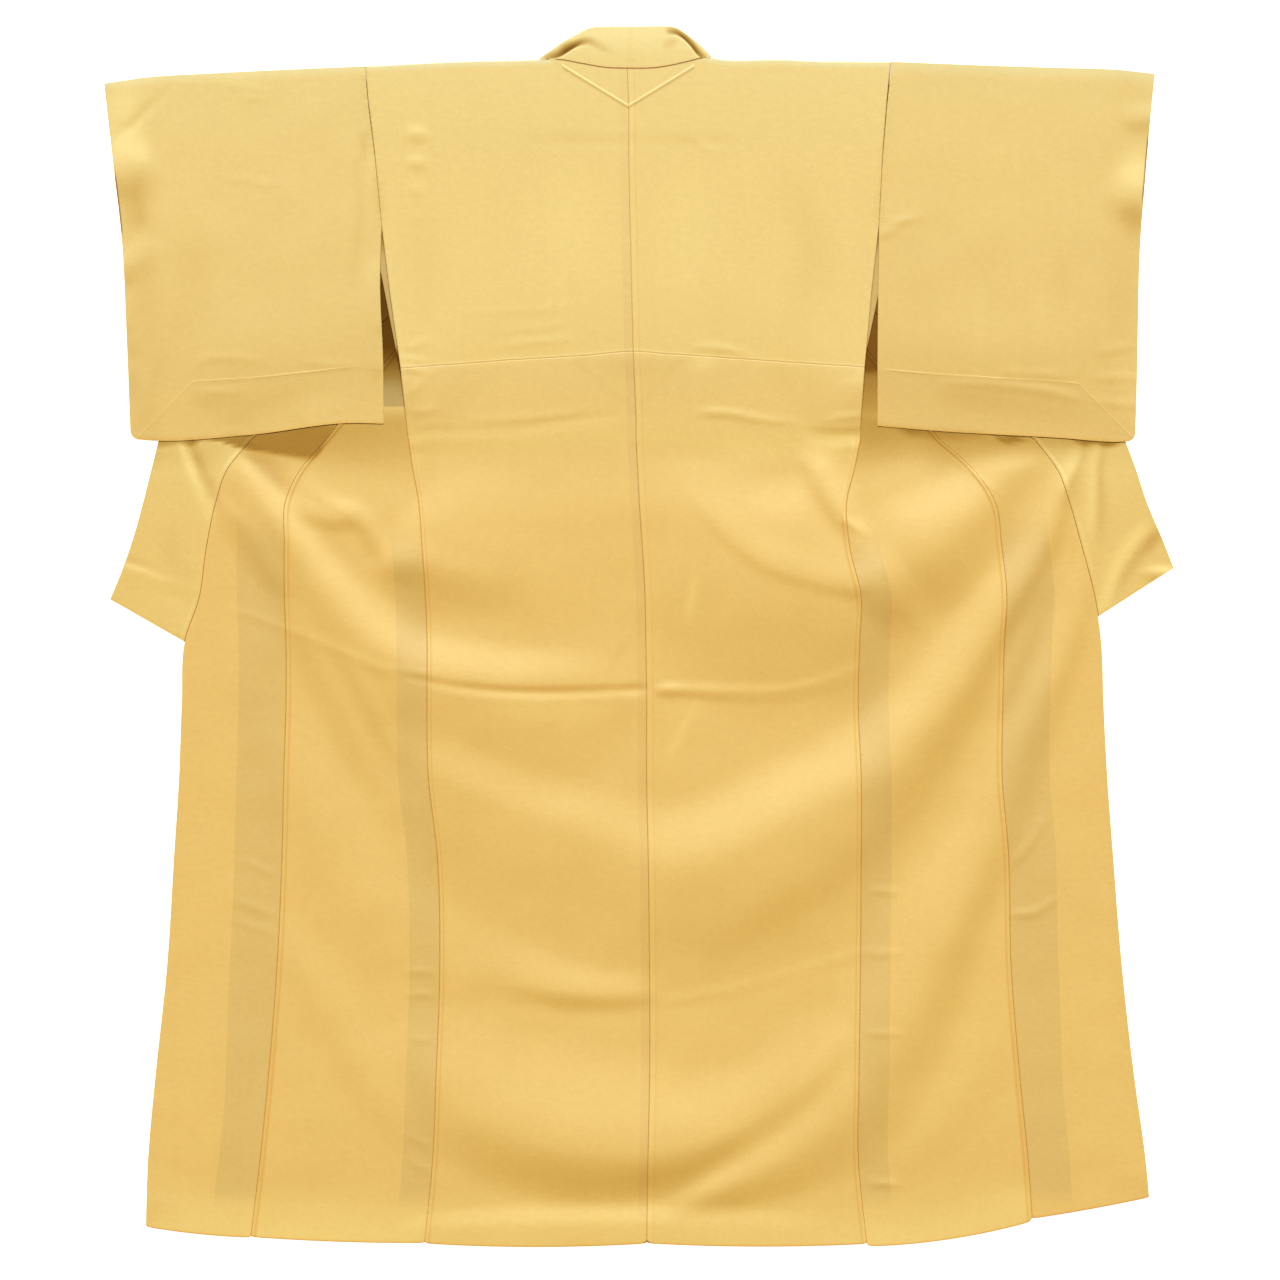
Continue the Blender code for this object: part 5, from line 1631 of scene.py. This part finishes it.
def sleeve_faces(rows, columns, skins, shut):
    """Faces of all the skins and of the walls between them round the border.

    An open edge joins each layer's two sides, and a closed one joins the layers."""
    count = rows * columns
    faces = []
    for index in range(skins):
        faces += grid_faces(rows, columns, index * count).tolist()
    rim = rim_places(rows, columns).tolist()
    after = rim[1:] + rim[:1]
    is_open = [opens(here, there, columns, shut) for here, there in zip(rim, after)]
    for here, there, free in zip(rim, after, is_open):
        for low, high in ((0, 1), (2, 3)) if free else ((0, 3), (1, 2)):
            faces.append((here + low * count, there + low * count,
                          there + high * count, here + high * count))
    for position, here in enumerate(rim):
        if is_open[position] != is_open[position - 1]:
            faces.append(tuple(here + index * count for index in range(skins)))
    return faces


def paint_sleeve(dye, colour, side):
    look = SLEEVE_LOOKS[side]
    y = dye.place("Y")
    from_armhole = dye.mark("from_last")
    place = dye.node("TexCoord", "Object")
    wave = dye.node("TexNoise", "Fac", Vector=place, Scale=SLEEVE_WAVES_PER_METRE)
    above = dye.mark("above_bottom") + (wave - 0.5) * SLEEVE_BAND_WAVE
    inward = dye.mark("past_mitre")
    colour = dye.tint(colour, 1.0, look.cloth)
    colour = dye.tint(colour, dye.between(y, 390.0, 500.0, 80.0), (0.98, 0.968, 0.94, 1.0))
    band = (1.0 - dye.step(above, SLEEVE_BAND - 1.0, SLEEVE_BAND)) * dye.step(inward, -1.0, 0.0)
    colour = dye.tint(colour, band, look.band)
    # The band's top edge and its slanting fold are raised lines with a painted highlight, uneven along
    # them.
    highlight_strength = dye.step(wave, 0.35, 0.62) * 0.5 + 0.5
    top_line = dye.between(above, SLEEVE_BAND, SLEEVE_BAND + 1.4, 1.2) * dye.step(inward, -2.0, 0.0)
    top_line = top_line * highlight_strength * dye.step(from_armhole, look.line_start, look.line_full)
    below_top_line = 1.0 - dye.step(above, SLEEVE_BAND, SLEEVE_BAND + 2.0)
    slant = dye.between(inward, -2.4, -1.0, 1.8) * below_top_line
    line = top_line + slant * 0.5
    dye.add_line(line * 0.3 + dye.puckers(from_armhole) * dye.step(y, 520.0, 560.0) * 0.5)
    colour = dye.tint(colour, line, (1.03, 1.035, 1.07, 1.0))
    # Painted shade inside the mouth of the cuff, where it gapes.
    at_cuff = 1.0 - dye.step(dye.mark("from_first"), 1.4, 3.0)
    gaping = at_cuff * dye.between(y, look.gape_low, look.gape_high, 16.0)
    colour = dye.tint(colour, gaping, (0.52, 0.34, 0.12, 1.0))
    # Painted shade just below the band's top edge.
    under = dye.between(above, SLEEVE_BAND - 4.0, SLEEVE_BAND - 2.5, 1.2) * dye.step(inward, 0.0, 3.0)
    return dye.tint(colour, under * 0.5, (0.94, 0.91, 0.85, 1.0))


def edge_height(edge, x):
    """Height at x of an edge whose points run across the sleeve."""
    edge_x, edge_y = np.array(sorted(edge), float).T
    return np.interp(x, edge_x, edge_y)


def sleeve_levels(side, plan):
    """Heights of a sleeve's lower and upper layers, with its distances from the edges."""
    x = plan[..., 0]
    y = plan[..., 1]
    above_bottom = y - edge_height(SLEEVES[side].bottom, x)
    below_top = edge_height(SLEEVES[side].top, x) - y
    from_cuff = np.abs(x - x[:, :1])
    from_armhole = np.abs(x - x[:, -1:])
    at_bottom = smooth_step(1.0 - above_bottom / BOTTOM_PRESS)
    under_z = CLOTH_LIFT + LAYER * turned_cover(x, y)
    under_z += (SLEEVE_EDGE_LEVEL - under_z) * at_bottom
    flat_z = 2.0 * LAYER + CLOTH_LIFT + unevenness(x, y, seed=11, longest=150.0, height=0.15)
    pressed = smooth_step(1.0 - from_cuff / EDGE_PRESS) * smooth_step(from_armhole / EDGE_PRESS)
    pressed = np.maximum(pressed, at_bottom)
    top_z = np.minimum(flat_z, flat_z + (under_z + SLEEVE_EDGE - flat_z) * pressed)
    top_z += read_map(UPPER_MAP, x, y) * smooth_step(above_bottom / BOTTOM_CLEAR)
    top_z = np.maximum(top_z, under_z + SLEEVE_EDGE)
    face_z = top_z + CLOTH - rounded(below_top, TOP_ROUND) - rounded(from_armhole, EDGE_ROUND)
    face_z -= rounded(above_bottom, OUTER_ROUND) + rounded(from_cuff, OUTER_ROUND)
    marks = {"above_bottom": above_bottom, "from_first": from_cuff, "from_last": from_armhole,
             "past_mitre": distance_beside(x, y, *MITRES[side])}
    return under_z, face_z, marks


def make_sleeve(side):
    inward = 1.0 if side == "left" else -1.0
    plan = round_corner(sleeve_plan(side), SLEEVES[side].outer[-1], inward)
    rows, columns = plan.shape[:2]
    inner = plan.copy()
    inner[0] = inset(plan[0], plan[1], CLOTH)
    inner[-1] = inset(plan[-1], plan[-2], CLOTH)
    shut = plan[:, 0, 1] <= plan[0, 0, 1] - CUFF_OPENING
    cuff_inset = inset(plan[:, 0], plan[:, 1], CLOTH)
    inner[1:-1, 0] = np.where(shut[1:-1, None], cuff_inset[1:-1], plan[1:-1, 0])
    under_z, face_z, marks = sleeve_levels(side, plan)
    skins = (raised(plan, under_z), raised(inner, under_z + CLOTH),
             raised(inner, face_z - CLOTH), raised(plan, face_z))
    points = np.concatenate([skin.reshape(-1, 3) for skin in skins])
    marks = {mark: np.tile(values.ravel(), len(skins)) for mark, values in marks.items()}
    marks["reverse"] = np.repeat((0.0, 1.0, 1.0, 0.0), rows * columns)
    piece = new_piece("sleeve_tube_" + side, points, sleeve_faces(rows, columns, len(skins), shut), marks)
    piece.data.materials.append(silk("silk_sleeve_" + side, paint_sleeve, side))
    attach(piece, "root")
    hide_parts("sleeve_" + side)


for each_side in ("left", "right"):
    make_sleeve(each_side)


# The surface, the light and the camera
# The kimono lies on a plain pale floor and is seen from straight above, its collar at the top.
# A soft key light stands a little towards the collar, and the room gives an even fill.

CAMERA_HEIGHT = 14.0
FRAME_WIDTH = 1.7152
CAMERA_X = 0.002
CAMERA_Y = -0.0047
SENSOR = 36.0
FLOOR_SIZE = 12.0
KEY_TILT = 0.88
KEY_STRENGTH = 4.36
FILL_STRENGTH = 0.16

bpy.ops.mesh.primitive_plane_add(size=FLOOR_SIZE, location=(0.0, 0.0, -0.0005))
floor = bpy.context.object
floor.name = "floor"
floor_dye = Dye("pale_floor")
floor_dye.set(Base_Color=(0.80, 0.80, 0.79, 1.0), Roughness=0.9, Specular_IOR_Level=0.1,
              Emission_Color=(1.0, 1.0, 1.0, 1.0), Emission_Strength=0.92)
floor.data.materials.append(floor_dye.material)

key_data = bpy.data.lights.new("key", "SUN")
key_data.energy = KEY_STRENGTH
key_data.angle = 0.35
key = bpy.data.objects.new("key", key_data)
key.rotation_euler = (-KEY_TILT, 0.0, 0.0)
bpy.context.scene.collection.objects.link(key)

world = bpy.data.worlds.new("room")
world.use_nodes = True
world.node_tree.nodes["Background"].inputs["Color"].default_value = (1.0, 0.9, 0.7, 1.0)
world.node_tree.nodes["Background"].inputs["Strength"].default_value = FILL_STRENGTH
bpy.context.scene.world = world

camera_data = bpy.data.cameras.new("camera")
camera_data.sensor_width = SENSOR
camera_data.lens = SENSOR * CAMERA_HEIGHT / FRAME_WIDTH
camera_data.clip_end = 100.0
camera = bpy.data.objects.new("camera", camera_data)
camera.location = (CAMERA_X, CAMERA_Y, CAMERA_HEIGHT)
bpy.context.scene.collection.objects.link(camera)
bpy.context.scene.camera = camera
bpy.context.scene.view_settings.view_transform = "Standard"
